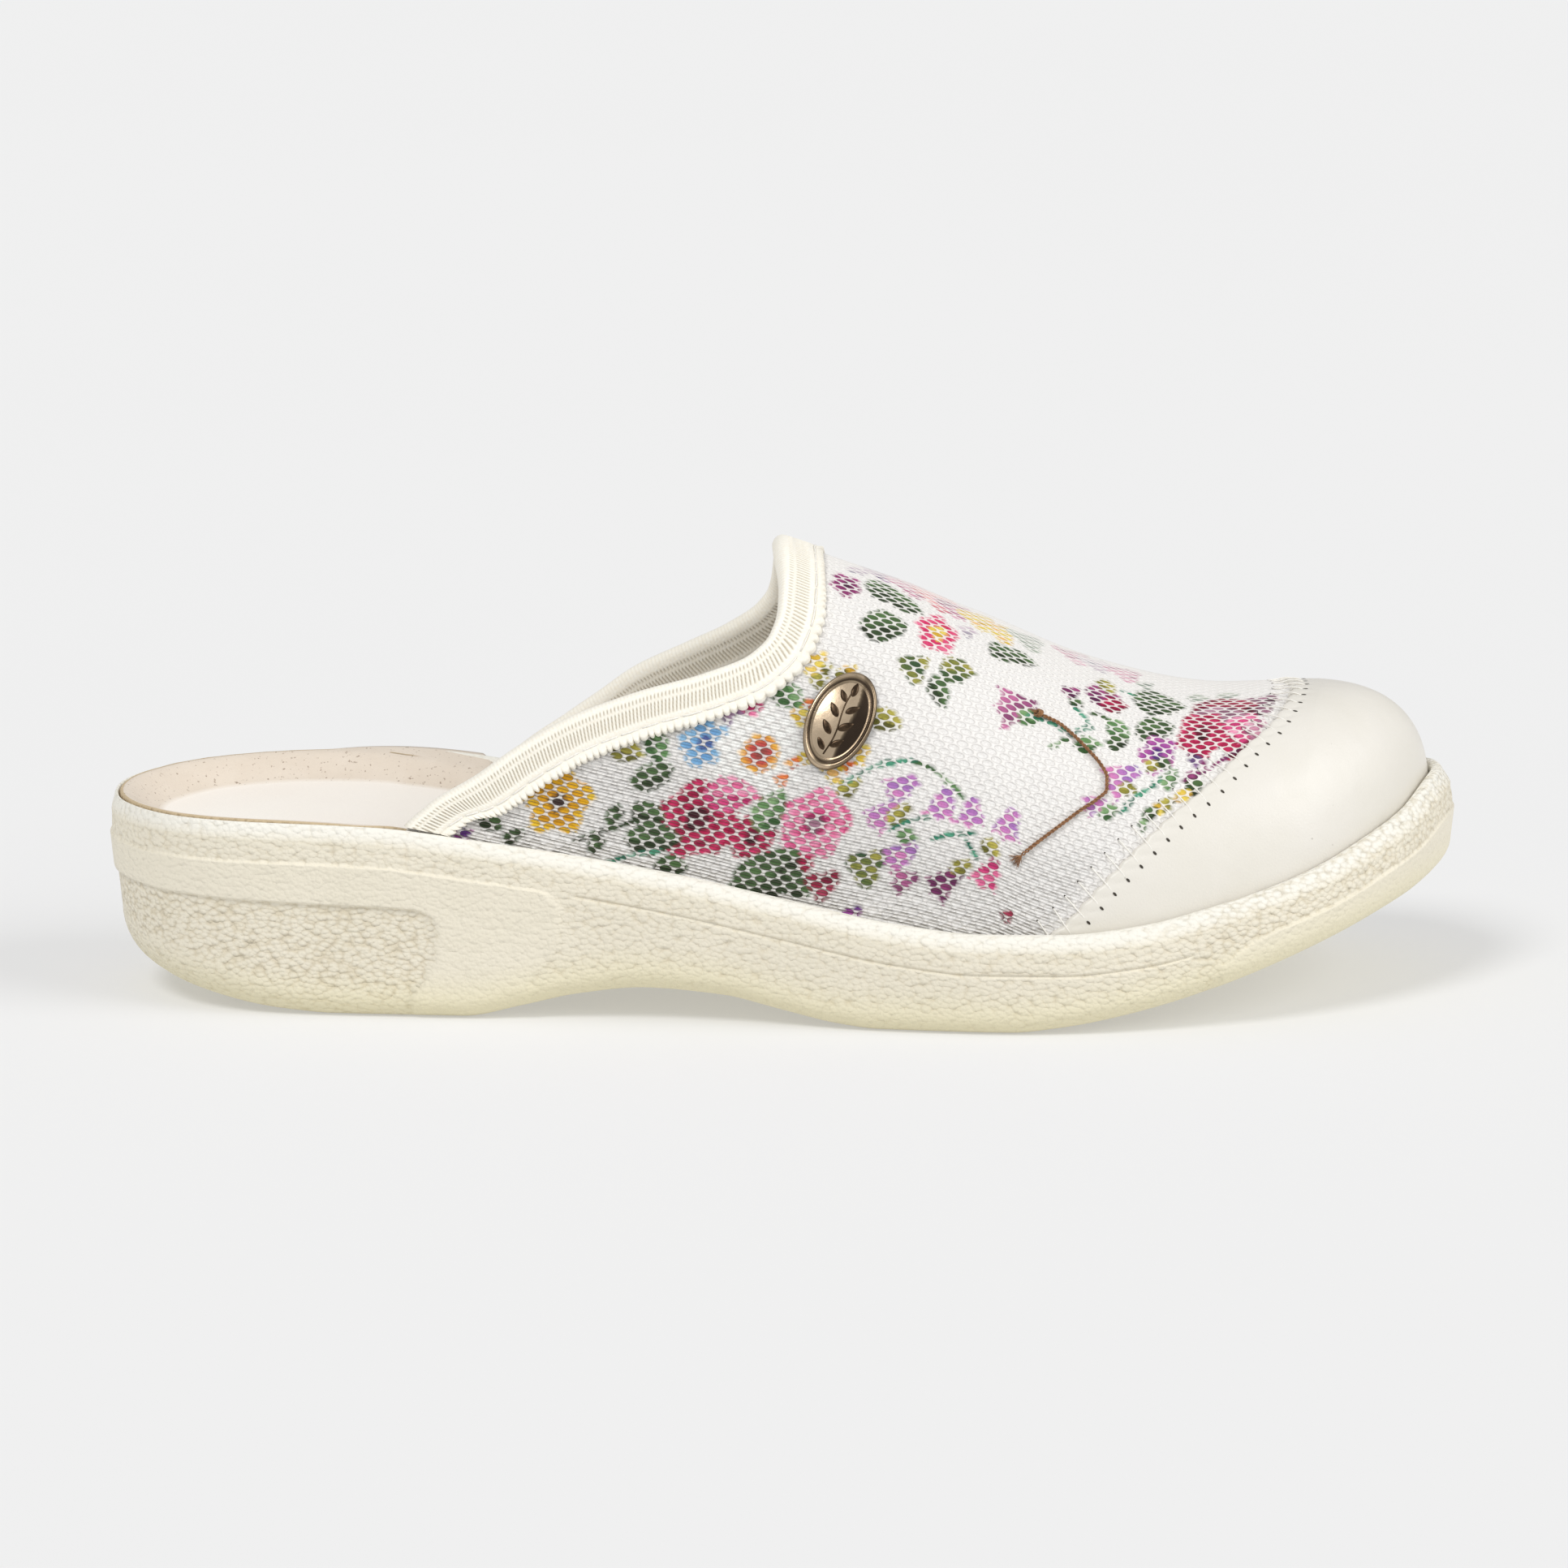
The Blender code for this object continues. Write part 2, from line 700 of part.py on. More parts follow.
def collar_places():
    """Evenly spaced places along the collar's edge, from above the lateral rim over
    the ridge to above the medial rim."""
    dense = []
    for k in range(721):
        angle = -90.0 + k / 4
        side = LATERAL if angle < 0 else MEDIAL
        share = collar_of[side](abs(angle))
        a = station_at(share)
        point = vamp_point(a, angle)
        if point.z > rim_height(side, share) + RIM_CROWN + CLEARANCE:
            dense.append((a, angle, point))
    lengths = [0.0]
    for near, far in zip(dense, dense[1:]):
        lengths.append(lengths[-1] + (far[2] - near[2]).length)
    places = []
    for k in range(BINDING_SECTIONS + 1):
        at = lengths[-1] * k / BINDING_SECTIONS
        a = float(np.interp(at, lengths, [row[0] for row in dense]))
        angle = float(np.interp(at, lengths, [row[1] for row in dense]))
        places.append((a, angle))
    return places


def binding_section(places, k):
    """A folded strip around the collar's edge, as a closed ring of points."""
    a, angle = places[k]
    before, after = places[max(k - 1, 0)], places[min(k + 1, len(places) - 1)]
    edge = (vamp_point(*after) - vamp_point(*before)).normalized()
    point, along, _, normal = vamp_frame(a, angle)
    inward = normal.cross(edge)
    inward = inward if inward.x > 0 else -inward
    side = LATERAL if angle < 0 else MEDIAL
    above_rim = point.z - rim_height(side, share_of(point.x))
    level = 1 - smooth(LEVEL_HEIGHT, TURNED_HEIGHT, above_rim)
    direction = (inward * (1 - level) + along.normalized() * level).normalized()
    outer = CLEARANCE + BINDING_THICKNESS
    legs = []
    for distance in (BINDING_WIDTH, BINDING_WIDTH * 0.66, BINDING_WIDTH * 0.33):
        there = vamp_frame(*walk(a, angle, direction, distance))
        legs.append((there[0], there[3]))
    legs.append((point, normal))

    def bend(radius, turns):
        middle = point - normal * (VAMP_WALL / 2)
        return [
            middle - direction * (radius * math.sin(t)) + normal * (radius * math.cos(t))
            for t in turns
        ]

    turns = [math.radians(t) for t in (45, 90, 135)]
    ring = [p + n * outer for p, n in legs]
    ring += bend(VAMP_WALL / 2 + outer, turns)
    ring += [p - n * (VAMP_WALL + outer) for p, n in reversed(legs)]
    ring += [p - n * (VAMP_WALL + CLEARANCE) for p, n in legs]
    ring += bend(VAMP_WALL / 2 + CLEARANCE, reversed(turns))
    ring += [p + n * CLEARANCE for p, n in reversed(legs)]
    return ring


def make_binding(collection):
    places = collar_places()
    rings = [binding_section(places, k) for k in range(len(places))]
    mesh = bmesh.new()
    made = add_grid(mesh, rings, closed=True)
    mesh.faces.new(made[0])
    mesh.faces.new(reversed(made[-1]))
    return finish_mesh("collar_binding", mesh, collection, material("knit_tape", (0.92, 0.91, 0.87), 0.8))


# Badge and thread


def make_badge(collection):
    """An oval plate with a raised rim, bent to the vamp that it is pinned to."""
    a, angle = station_at(BADGE_PLACE[0]), BADGE_PLACE[1]
    _, along, _, normal = vamp_frame(a, angle)
    forward = along.normalized()
    upward = normal.cross(forward).normalized()
    upward = upward if upward.z > 0 else -upward
    levels = (
        (1.00, CLEARANCE),
        (1.00, CLEARANCE + 0.6 * BADGE_RIM),
        (0.94, CLEARANCE + BADGE_RIM),
        (0.87, CLEARANCE + BADGE_RIM),
        (0.82, CLEARANCE + 0.5 * BADGE_DOME),
        (0.55, CLEARANCE + 0.85 * BADGE_DOME),
    )
    rings = [[] for _ in levels]
    for k in range(BADGE_SIDES):
        turn = 2 * math.pi * k / BADGE_SIDES
        p = BADGE_LENGTH / 2 * math.cos(turn)
        q = BADGE_WIDTH / 2 * math.sin(turn)
        tilt = math.radians(BADGE_TILT)
        way = forward * (p * math.cos(tilt) - q * math.sin(tilt))
        way += upward * (p * math.sin(tilt) + q * math.cos(tilt))
        for ring, (size, height) in zip(rings, levels):
            there = vamp_frame(*walk(a, angle, way, way.length * size))
            ring.append(there[0] + there[3] * height)
    mesh = bmesh.new()
    made = add_grid(mesh, rings, closed=True)
    point = vamp_point(a, angle)
    for ring, height in ((made[0], CLEARANCE), (made[-1], CLEARANCE + BADGE_DOME)):
        centre = mesh.verts.new(point + normal * height)
        for k in range(BADGE_SIDES):
            mesh.faces.new((ring[k], ring[(k + 1) % BADGE_SIDES], centre))
    return finish_mesh("badge", mesh, collection, material("badge_metal", (0.62, 0.56, 0.48), 0.25, 1.0))


def thread_line():
    """The middle line of the thread, held just off the vamp's face."""
    rows = [(i, *row) for i, row in enumerate(THREAD_ROUTE)]
    share_at, angle_at = column(rows, 1), column(rows, 2)
    points = []
    for k in range(2 * (len(rows) - 1) + 1):
        place = vamp_frame(station_at(share_at(k / 2)), angle_at(k / 2))
        points.append(place[0] + place[3] * (THREAD_DIAMETER / 2 + CLEARANCE))
    return points


def make_thread(collection):
    points = thread_line()
    data = bpy.data.curves.new("couched_thread", "CURVE")
    data.dimensions = "3D"
    data.bevel_depth = THREAD_DIAMETER / 2
    data.bevel_resolution = 2
    data.use_fill_caps = True
    spline = data.splines.new("POLY")
    spline.points.add(len(points) - 1)
    for place, point in zip(spline.points, points):
        place.co = (*point, 1.0)
    data.materials.append(material("brown_thread", (0.30, 0.16, 0.09), 0.8))
    thread = bpy.data.objects.new("couched_thread", data)
    collection.objects.link(thread)
    return thread


def cover_over_vamp(cap):
    """Raises the cap's surface off the vamp and gives it its own wall."""
    lift = cap.modifiers.new("lift", "DISPLACE")
    lift.direction = "NORMAL"
    lift.mid_level = 0.0
    lift.strength = CLEARANCE
    wall = cap.modifiers.new("wall", "SOLIDIFY")
    wall.thickness = CAP_THICKNESS
    wall.offset = 1.0
    wall.use_even_offset = True


def main():
    for made in list(bpy.data.objects):
        bpy.data.objects.remove(made)
    shoe = bpy.data.collections.new("comfort_mule")
    cutters = bpy.data.collections.new("cutters")
    bpy.context.scene.collection.children.link(shoe)
    bpy.context.scene.collection.children.link(cutters)
    make_sole(shoe, cutters)
    make_insole(shoe)
    make_vamp(shoe)
    cover_over_vamp(make_toe_cap(shoe))
    make_binding(shoe)
    make_badge(shoe)
    make_thread(shoe)


main()
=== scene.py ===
"""Looks of the right-foot comfort mule: fine sole, footbed, printed net vamp, toe cap,
collar tape, badge and thread, on a plain pale floor.

Metres, +Z up, +X towards the toe, +Y towards the inner (medial) side of the foot.
"""

import math

import bmesh
import bpy
import numpy as np
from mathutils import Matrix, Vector


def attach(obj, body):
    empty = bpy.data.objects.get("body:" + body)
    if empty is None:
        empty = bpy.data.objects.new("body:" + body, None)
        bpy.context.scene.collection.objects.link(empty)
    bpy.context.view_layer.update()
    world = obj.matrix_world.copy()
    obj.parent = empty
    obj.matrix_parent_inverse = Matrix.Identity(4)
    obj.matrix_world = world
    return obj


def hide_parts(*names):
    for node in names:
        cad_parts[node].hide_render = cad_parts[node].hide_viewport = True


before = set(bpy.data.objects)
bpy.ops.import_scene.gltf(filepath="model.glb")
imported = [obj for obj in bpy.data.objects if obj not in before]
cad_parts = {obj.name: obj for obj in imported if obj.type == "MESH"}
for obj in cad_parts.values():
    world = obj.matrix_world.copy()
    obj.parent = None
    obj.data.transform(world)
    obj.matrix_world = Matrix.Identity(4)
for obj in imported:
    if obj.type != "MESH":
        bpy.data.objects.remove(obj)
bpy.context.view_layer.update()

MM = 0.001
LATERAL = -1
MEDIAL = 1

# Driving sizes, as in the part
SOLE_LENGTH = 257.0 * MM
BALL_WIDTH = 92.0 * MM
HEEL_HEIGHT = 37.5 * MM
VAMP_RISE = 61.0 * MM
TOE_SPRING = 23.5 * MM
ARCH_RISE = 6.2 * MM
HEEL_BEVEL = 8.0 * MM
ARCH_LIFT = 3.2 * MM
CLEARANCE = 0.3 * MM
VAMP_WALL = 1.8 * MM
CAP_THICKNESS = 0.9 * MM
CAP_BITE = 0.6 * MM
INSOLE_THICKNESS = 1.6 * MM
BINDING_THICKNESS = 0.8 * MM
BINDING_WIDTH = 7.6 * MM
LEVEL_HEIGHT = 2.0 * MM
TURNED_HEIGHT = 16.0 * MM
LIP_DEPTH = 4.0 * MM
RIM_WIDTH = 4.6 * MM
RIM_CROWN = 0.5 * MM
SEAT_LEDGE = 3.2 * MM
CUP_DEPTH = 4.3 * MM
CUP_RUN = 8.0 * MM
BAND_HEIGHT = 7.0 * MM
BAND_LEAN = 1.3 * MM
PLATE_PROUD = 0.5 * MM
WINDOW_DEPTH = 0.7 * MM
WINDOW_TOP_SHARE = 0.26
SIDE_DRAFT = 0.1
EDGE_ROUND = 12.0 * MM
GROOVE_WIDTH = 2.4 * MM
GROOVE_DEPTH = 1.2 * MM
GROOVE_PITCH = 8.0 * MM
GROOVE_MARGIN = 7.0 * MM
HEEL_TREAD = (0.096, 0.29)
FORE_TREAD = (0.539, 0.87)
BADGE_LENGTH = 19.5 * MM
BADGE_WIDTH = 12.2 * MM
BADGE_PLACE = (0.538, -53.7)
BADGE_TILT = 83.0
THREAD_DIAMETER = 1.2 * MM
ORIGIN_SHARE = 0.205
FAN_SHARE = 0.90
BITE_SHARE = 0.013

# Outline of the sole: lateral x, lateral y, medial x, medial y.
# Shares of SOLE_LENGTH and BALL_WIDTH, from the back of the heel to the toe.
OUTLINE = (
    (0.000, 0.000, 0.000, 0.000),
    (0.010, -0.134, 0.010, 0.134),
    (0.045, -0.258, 0.045, 0.258),
    (0.100, -0.322, 0.100, 0.322),
    (0.180, -0.345, 0.180, 0.345),
    (0.270, -0.358, 0.270, 0.348),
    (0.370, -0.374, 0.370, 0.338),
    (0.470, -0.408, 0.470, 0.342),
    (0.570, -0.455, 0.570, 0.385),
    (0.660, -0.484, 0.660, 0.448),
    (0.742, -0.478, 0.742, 0.500),
    (0.818, -0.430, 0.826, 0.507),
    (0.884, -0.350, 0.900, 0.460),
    (0.936, -0.240, 0.954, 0.368),
    (0.976, -0.105, 0.986, 0.240),
    (1.000, 0.075, 1.000, 0.075),
)

# Heights along the shoe: share of the length, then rim of the sole as a share of
# HEEL_HEIGHT, lift of the medial rim of ARCH_LIFT, rise of the vamp's ridge of
# VAMP_RISE, sideways place of the ridge of BALL_WIDTH.
HEIGHTS = (
    (0.00, 1.010, 0.0, 1.200, 0.020),
    (0.10, 1.005, 0.3, 1.190, 0.020),
    (0.20, 0.985, 0.7, 1.165, 0.020),
    (0.27, 0.925, 1.0, 1.140, 0.020),
    (0.34, 0.855, 0.95, 1.105, 0.020),
    (0.42, 0.762, 0.6, 1.055, 0.022),
    (0.50, 0.650, 0.3, 1.003, 0.025),
    (0.58, 0.545, 0.1, 0.946, 0.035),
    (0.64, 0.505, 0.0, 0.862, 0.045),
    (0.70, 0.505, 0.0, 0.748, 0.052),
    (0.76, 0.541, 0.0, 0.641, 0.058),
    (0.82, 0.625, 0.0, 0.545, 0.062),
    (0.86, 0.690, 0.0, 0.507, 0.065),
    (0.90, 0.772, 0.0, 0.457, 0.068),
    (0.94, 0.880, 0.0, 0.400, 0.070),
    (0.97, 0.970, 0.0, 0.350, 0.075),
    (1.00, 1.085, 0.0, 0.300, 0.080),
)

# Underside: share of the length, then shares of HEEL_BEVEL, ARCH_RISE, TOE_SPRING.
UNDERSIDE = (
    (0.000, 1.00, 0.00, 0.000),
    (0.030, 0.76, 0.00, 0.000),
    (0.060, 0.49, 0.00, 0.000),
    (0.100, 0.22, 0.00, 0.000),
    (0.140, 0.06, 0.00, 0.000),
    (0.170, 0.00, 0.00, 0.000),
    (0.265, 0.00, 0.00, 0.000),
    (0.310, 0.00, 0.38, 0.000),
    (0.350, 0.00, 0.76, 0.000),
    (0.400, 0.00, 1.00, 0.000),
    (0.455, 0.00, 0.86, 0.000),
    (0.500, 0.00, 0.46, 0.000),
    (0.540, 0.00, 0.12, 0.000),
    (0.570, 0.00, 0.00, 0.000),
    (0.665, 0.00, 0.00, 0.000),
    (0.700, 0.00, 0.00, 0.040),
    (0.760, 0.00, 0.00, 0.165),
    (0.820, 0.00, 0.00, 0.340),
    (0.880, 0.00, 0.00, 0.555),
    (0.940, 0.00, 0.00, 0.780),
    (0.970, 0.00, 0.00, 0.890),
    (1.000, 0.00, 0.00, 1.000),
)

# Edge of the sole: share of the length, then rim width of RIM_WIDTH, lip depth of
# LIP_DEPTH, ledge of SEAT_LEDGE, cup of CUP_DEPTH, lower rounding of EDGE_ROUND and
# lean of the upper band of BAND_LEAN.
EDGE = (
    (0.00, 0.40, 0.38, 0.25, 1.00, 1.00, 0.45),
    (0.05, 0.40, 0.38, 0.25, 1.00, 0.85, 0.40),
    (0.12, 0.42, 0.38, 0.25, 1.00, 0.55, 0.30),
    (0.20, 0.50, 0.50, 0.60, 1.00, 0.45, 0.30),
    (0.28, 0.75, 0.85, 1.00, 0.85, 0.42, 0.30),
    (0.40, 0.95, 1.00, 1.00, 0.60, 0.42, 0.30),
    (0.60, 1.00, 1.00, 1.00, 0.30, 0.42, 0.30),
    (0.80, 1.00, 1.00, 1.00, 0.25, 0.45, 0.45),
    (0.92, 1.00, 1.00, 1.00, 0.25, 0.55, 0.90),
    (1.00, 1.00, 1.00, 1.00, 0.25, 0.62, 1.20),
)

# Collar of the vamp: angle from the ridge in degrees, then the share of the length
# where the edge lies on the lateral and on the medial side.
COLLAR = (
    (0, 0.500, 0.500),
    (20, 0.500, 0.500),
    (33, 0.498, 0.498),
    (41, 0.491, 0.494),
    (47, 0.476, 0.484),
    (54, 0.439, 0.460),
    (60, 0.393, 0.430),
    (67, 0.342, 0.391),
    (73, 0.306, 0.364),
    (78, 0.279, 0.340),
    (84, 0.243, 0.308),
    (90, 0.222, 0.285),
)

# Rear edge of the toe cap: angle from the ridge in degrees, share of the length.
CAP_EDGE = (
    (0, 0.8775),
    (12, 0.877),
    (22, 0.8725),
    (30, 0.865),
    (39, 0.8445),
    (49, 0.819),
    (58, 0.7865),
    (66, 0.760),
    (74, 0.734),
    (82, 0.709),
    (90, 0.684),
)

# Fullness of the vamp's sections beyond an ellipse: share, lateral, medial.
FULLNESS = (
    (0.20, 0.03, 0.04),
    (0.50, 0.04, 0.06),
    (0.70, 0.04, 0.07),
    (0.88, 0.05, 0.06),
    (1.00, 0.05, 0.05),
)

# Route of the couched thread on the vamp: share of the length, angle.
THREAD_ROUTE = (
    (0.6846, -37.7),
    (0.6980, -38.1),
    (0.7100, -40.1),
    (0.7222, -43.4),
    (0.7315, -46.4),
    (0.7364, -49.5),
    (0.7363, -52.4),
    (0.7280, -55.4),
    (0.7155, -58.4),
    (0.6968, -63.4),
    (0.6846, -66.6),
    (0.6712, -70.1),
)

# Camera, square to the lateral side: height above the level, distance and lens
CAMERA_RISE = 12.3
CAMERA_DISTANCE = 1500.0 * MM
CAMERA_LENS = 180.3
CAMERA_SENSOR = 36.0
CAMERA_AIM_HEIGHT = 30.0 * MM
CAMERA_LIFT = 8.84 * MM
# The photograph's side view: pixels a millimetre, column of the heel's back, row of
# the floor under the camera's aim.
PHOTO_SCALE = 6.45
PHOTO_HEEL = 137
PHOTO_FLOOR = 1212
RISE = math.radians(CAMERA_RISE)
TO_CAMERA = np.array([0.0, -math.cos(RISE), math.sin(RISE)])
CAMERA_UP = np.array([0.0, math.sin(RISE), math.cos(RISE)])
CAMERA_AIM = np.array([(0.5 - ORIGIN_SHARE) * SOLE_LENGTH, 0.0, CAMERA_AIM_HEIGHT])


def hermite(start, leave, end, arrive, s):
    """A cubic between two values, with the slopes that it leaves and arrives with."""
    return (
        start * (1 + 2 * s) * (1 - s) ** 2
        + leave * s * (1 - s) ** 2
        + end * s * s * (3 - 2 * s)
        + arrive * s * s * (s - 1)
    )


def column(table, index):
    """A monotone cubic through one column of a table, against its first column."""
    xs = np.array([row[0] for row in table], float)
    ys = np.array([row[index] for row in table], float)
    widths = np.diff(xs)
    slopes = np.diff(ys) / widths
    tangents = np.zeros(len(xs))
    for i in range(1, len(xs) - 1):
        if slopes[i - 1] * slopes[i] > 0:
            w1 = 2 * widths[i] + widths[i - 1]
            w2 = widths[i] + 2 * widths[i - 1]
            tangents[i] = (w1 + w2) / (w1 / slopes[i - 1] + w2 / slopes[i])

    def value(x):
        x = np.clip(x, xs[0], xs[-1])
        i = np.clip(np.searchsorted(xs, x, side="right") - 1, 0, len(widths) - 1)
        h = widths[i]
        return hermite(ys[i], tangents[i] * h, ys[i + 1], tangents[i + 1] * h, (x - xs[i]) / h)

    return value


rim_share, medial_lift, ridge_rise, ridge_side = (column(HEIGHTS, k) for k in (1, 2, 3, 4))
heel_bevel, arch_rise, toe_spring = (column(UNDERSIDE, k) for k in (1, 2, 3))
rim_width_share, lip_share, ledge_share = (column(EDGE, k) for k in (1, 2, 3))
cup_share, round_share, lean_share = (column(EDGE, k) for k in (4, 5, 6))
cap_edge = column(CAP_EDGE, 1)
collar_of = {LATERAL: column(COLLAR, 1), MEDIAL: column(COLLAR, 2)}
fullness_of = {LATERAL: column(FULLNESS, 1), MEDIAL: column(FULLNESS, 2)}


def smooth(low, high, x):
    """Eases from 0 to 1 while x runs from low to high."""
    s = np.clip((x - low) / (high - low), 0.0, 1.0)
    return s * s * (3 - 2 * s)


def share_of(x):
    return x / SOLE_LENGTH + ORIGIN_SHARE


def outline_rows(side):
    """The outline's rows on one side, with one more row at each end from the other."""
    first = 0 if side == LATERAL else 2
    here = [row[first : first + 2] for row in OUTLINE]
    there = [row[2 - first : 4 - first] for row in OUTLINE]
    padded = np.array([there[1]] + here + [there[-2]])
    padded[:, 0] -= ORIGIN_SHARE
    return padded * (SOLE_LENGTH, BALL_WIDTH)


OUTLINE_ROWS = {side: outline_rows(side) for side in (LATERAL, MEDIAL)}
LAST_STATION = float(len(OUTLINE) - 1)


def outline(side, a):
    """Points and inward normals, in plan, at stations a from the heel to the toe."""
    a = np.asarray(a, float)
    rows = OUTLINE_ROWS[side]
    i = np.clip(np.floor(a).astype(int), 0, len(OUTLINE) - 2)
    s = (a - i)[..., None]
    p0, p1, p2, p3 = (rows[i + k] for k in range(4))
    m1, m2 = (p2 - p0) / 2, (p3 - p1) / 2
    slope = (p2 - p1) * 6 * s * (1 - s) + m1 * (1 - s) * (1 - 3 * s) + m2 * s * (3 * s - 2)
    tangent = unit(slope)
    inward = side * np.stack([tangent[..., 1], -tangent[..., 0]], -1)
    return hermite(p1, m1, p2, m2, s), inward


def unit(vectors):
    return vectors / np.maximum(np.linalg.norm(vectors, axis=-1, keepdims=True), 1e-12)


STATIONS = np.linspace(0.0, LAST_STATION, 1201)
MIDDLES = (outline(LATERAL, STATIONS)[0][:, 0] + outline(MEDIAL, STATIONS)[0][:, 0]) / 2


def station_at(share):
    """The station whose middle lies at a share of the length."""
    return np.interp((share - ORIGIN_SHARE) * SOLE_LENGTH, MIDDLES, STATIONS)


def share_at(a):
    return share_of(np.interp(a, STATIONS, MIDDLES))


def by_side(angle, value):
    """What a function of the side gives, for the side that each angle lies on."""
    return np.where(angle < 0, value(LATERAL), value(MEDIAL))


def collar_share(angle):
    """Share of the length where the collar's edge lies at an angle."""
    return by_side(angle, lambda side: collar_of[side](np.abs(angle)))


def run_along(points):
    """Distances along a line of points, from its start."""
    steps = np.linalg.norm(np.diff(points, axis=0), axis=1)
    return np.concatenate([[0.0], np.cumsum(steps)])


def rim_height(side, share):
    lift = ARCH_LIFT * medial_lift(share) if side == MEDIAL else 0.0
    return HEEL_HEIGHT * rim_share(share) + lift


def underside(share):
    return (
        HEEL_BEVEL * heel_bevel(share)
        + ARCH_RISE * arch_rise(share)
        + TOE_SPRING * toe_spring(share)
    )


def seat_height(side, share):
    return rim_height(side, share) - LIP_DEPTH * lip_share(share)


# Surface of the vamp


def vamp_gap(share):
    under_cap = smooth(CAP_EDGE[-1][1] - 0.04, CAP_EDGE[-1][1] - 0.004, share)
    return CLEARANCE + (CAP_THICKNESS + CLEARANCE) * under_cap


def vamp_base(side, a):
    """Where the outer face of the vamp stands on the sole's seat."""
    point, inward = outline(side, a)
    share = share_of(point[..., 0])
    inset = RIM_WIDTH * rim_width_share(share) + vamp_gap(share)
    height = seat_height(side, share) + CLEARANCE
    return np.concatenate([point + inward * inset[..., None], height[..., None]], -1)


def ridge_point(a):
    share = np.minimum(share_at(a), FAN_SHARE)
    x = (share - ORIGIN_SHARE) * SOLE_LENGTH
    height = HEEL_HEIGHT * rim_share(share) + VAMP_RISE * ridge_rise(share)
    return np.stack([x, BALL_WIDTH * ridge_side(share), height], -1)


def vamp_point(a, angle):
    """The outer face of the vamp: stations and angles in degrees from its ridge."""
    a, angle = np.broadcast_arrays(np.asarray(a, float), np.asarray(angle, float))
    ridge = ridge_point(a)
    turn = np.radians(np.abs(angle))
    share = share_at(a)
    edge = cap_edge(np.abs(angle))
    bite = CAP_BITE * smooth(edge - BITE_SHARE, edge, share) * np.cos(turn)
    base = by_side(angle[..., None], lambda side: vamp_base(side, a))
    fullness = by_side(angle, lambda side: fullness_of[side](share))
    swell = 1 + fullness * np.sin(2 * turn) ** 2
    across = (base[..., :2] - ridge[..., :2]) * (np.sin(turn) * swell)[..., None]
    up = (ridge[..., 2] - base[..., 2]) * np.cos(turn) * swell
    height = base[..., 2] + up - bite
    return np.concatenate([ridge[..., :2] + across, height[..., None]], -1)


def vamp_frame(a, angle):
    """Points, both slopes and outward normals of the vamp's outer face."""
    step_a, step_angle = 0.01, 0.2
    along = (vamp_point(a + step_a, angle) - vamp_point(a - step_a, angle)) / (2 * step_a)
    around = vamp_point(a, angle + step_angle) - vamp_point(a, angle - step_angle)
    around = around / (2 * step_angle)
    return vamp_point(a, angle), along, around, -unit(np.cross(around, along))


def walk(a, angle, direction, distance, steps=6):
    """Frames of the vamp's outer face at the ends of walks on it, from places, in
    directions, for distances."""
    a, angle = np.array(a, float), np.array(angle, float)
    for _ in range(steps):
        _, along, around, normal = vamp_frame(a, angle)
        inside = (direction * normal).sum(-1, keepdims=True)
        flat = unit(direction - normal * inside) * np.asarray(distance)[..., None] / steps
        aa, bb, ab = (along**2).sum(-1), (around**2).sum(-1), (along * around).sum(-1)
        fa, fb = (flat * along).sum(-1), (flat * around).sum(-1)
        det = aa * bb - ab**2
        a = a + (fa * bb - fb * ab) / det
        angle = angle + (fb * aa - fa * ab) / det
    return vamp_frame(a, angle)


# Mesh helpers


WELD = 0.015 * MM
INSIDE_SHOE = (100 * MM, 0.0, 30 * MM)
UNDER_SHOE = (60 * MM, 0.0, -1.0)


def grid_faces(rows, columns, closed=False, start=0):
    """Quads of a grid of points numbered row by row. Closed rows join end to start."""
    steps = np.arange(columns if closed else columns - 1)
    i, j = np.meshgrid(np.arange(rows - 1), steps, indexing="ij")
    k = (j + 1) % columns
    near, far = start + i * columns, start + (i + 1) * columns
    return np.stack([near + j, near + k, far + k, far + j], -1).reshape(-1, 4)


def link(name, data):
    """A new object in the scene with this data."""
    made = bpy.data.objects.new(name, data)
    bpy.context.scene.collection.objects.link(made)
    return made


def mend(made, weld=0.0, outward=True):
    """Welds points that lie closer than this, and turns the faces outwards, less any that
    the weld makes too thin."""
    mesh = bmesh.new()
    mesh.from_mesh(made.data)
    if weld:
        bmesh.ops.remove_doubles(mesh, verts=mesh.verts, dist=weld)
    if weld and outward:
        bmesh.ops.dissolve_degenerate(mesh, edges=mesh.edges, dist=weld / 4)
    if outward:
        bmesh.ops.recalc_face_normals(mesh, faces=mesh.faces)
    mesh.to_mesh(made.data)
    mesh.free()
    made.data.shade_smooth()


def make_object(name, points, faces, materials, outward=True):
    """A smooth-shaded mesh object from points and faces, turned outwards if it is closed."""
    data = bpy.data.meshes.new(name)
    data.from_pydata(np.asarray(points).reshape(-1, 3).tolist(), [], [list(f) for f in faces])
    for surface in materials:
        data.materials.append(surface)
    data.shade_smooth()
    made = link(name, data)
    if outward:
        mend(made)
    return made


def make_sheet(name, rows, materials, centre, thickness, lining=0, **layers):
    """A welded sheet of rows of points that faces away from a centre, with a wall behind
    it whose material lies this many slots on."""
    made = make_object(name, rows, grid_faces(*rows.shape[:2]), materials, outward=False)
    for layer, values in layers.items():
        paint(made, layer, values)
    mend(made, WELD)
    faces = made.data.polygons
    if sum((face.center - Vector(centre)).dot(face.normal) * face.area for face in faces) < 0:
        made.data.flip_normals()
    wall = made.modifiers.new("wall", "SOLIDIFY")
    wall.thickness = thickness
    wall.offset = -1.0
    wall.material_offset = lining
    wall.material_offset_rim = lining
    return made


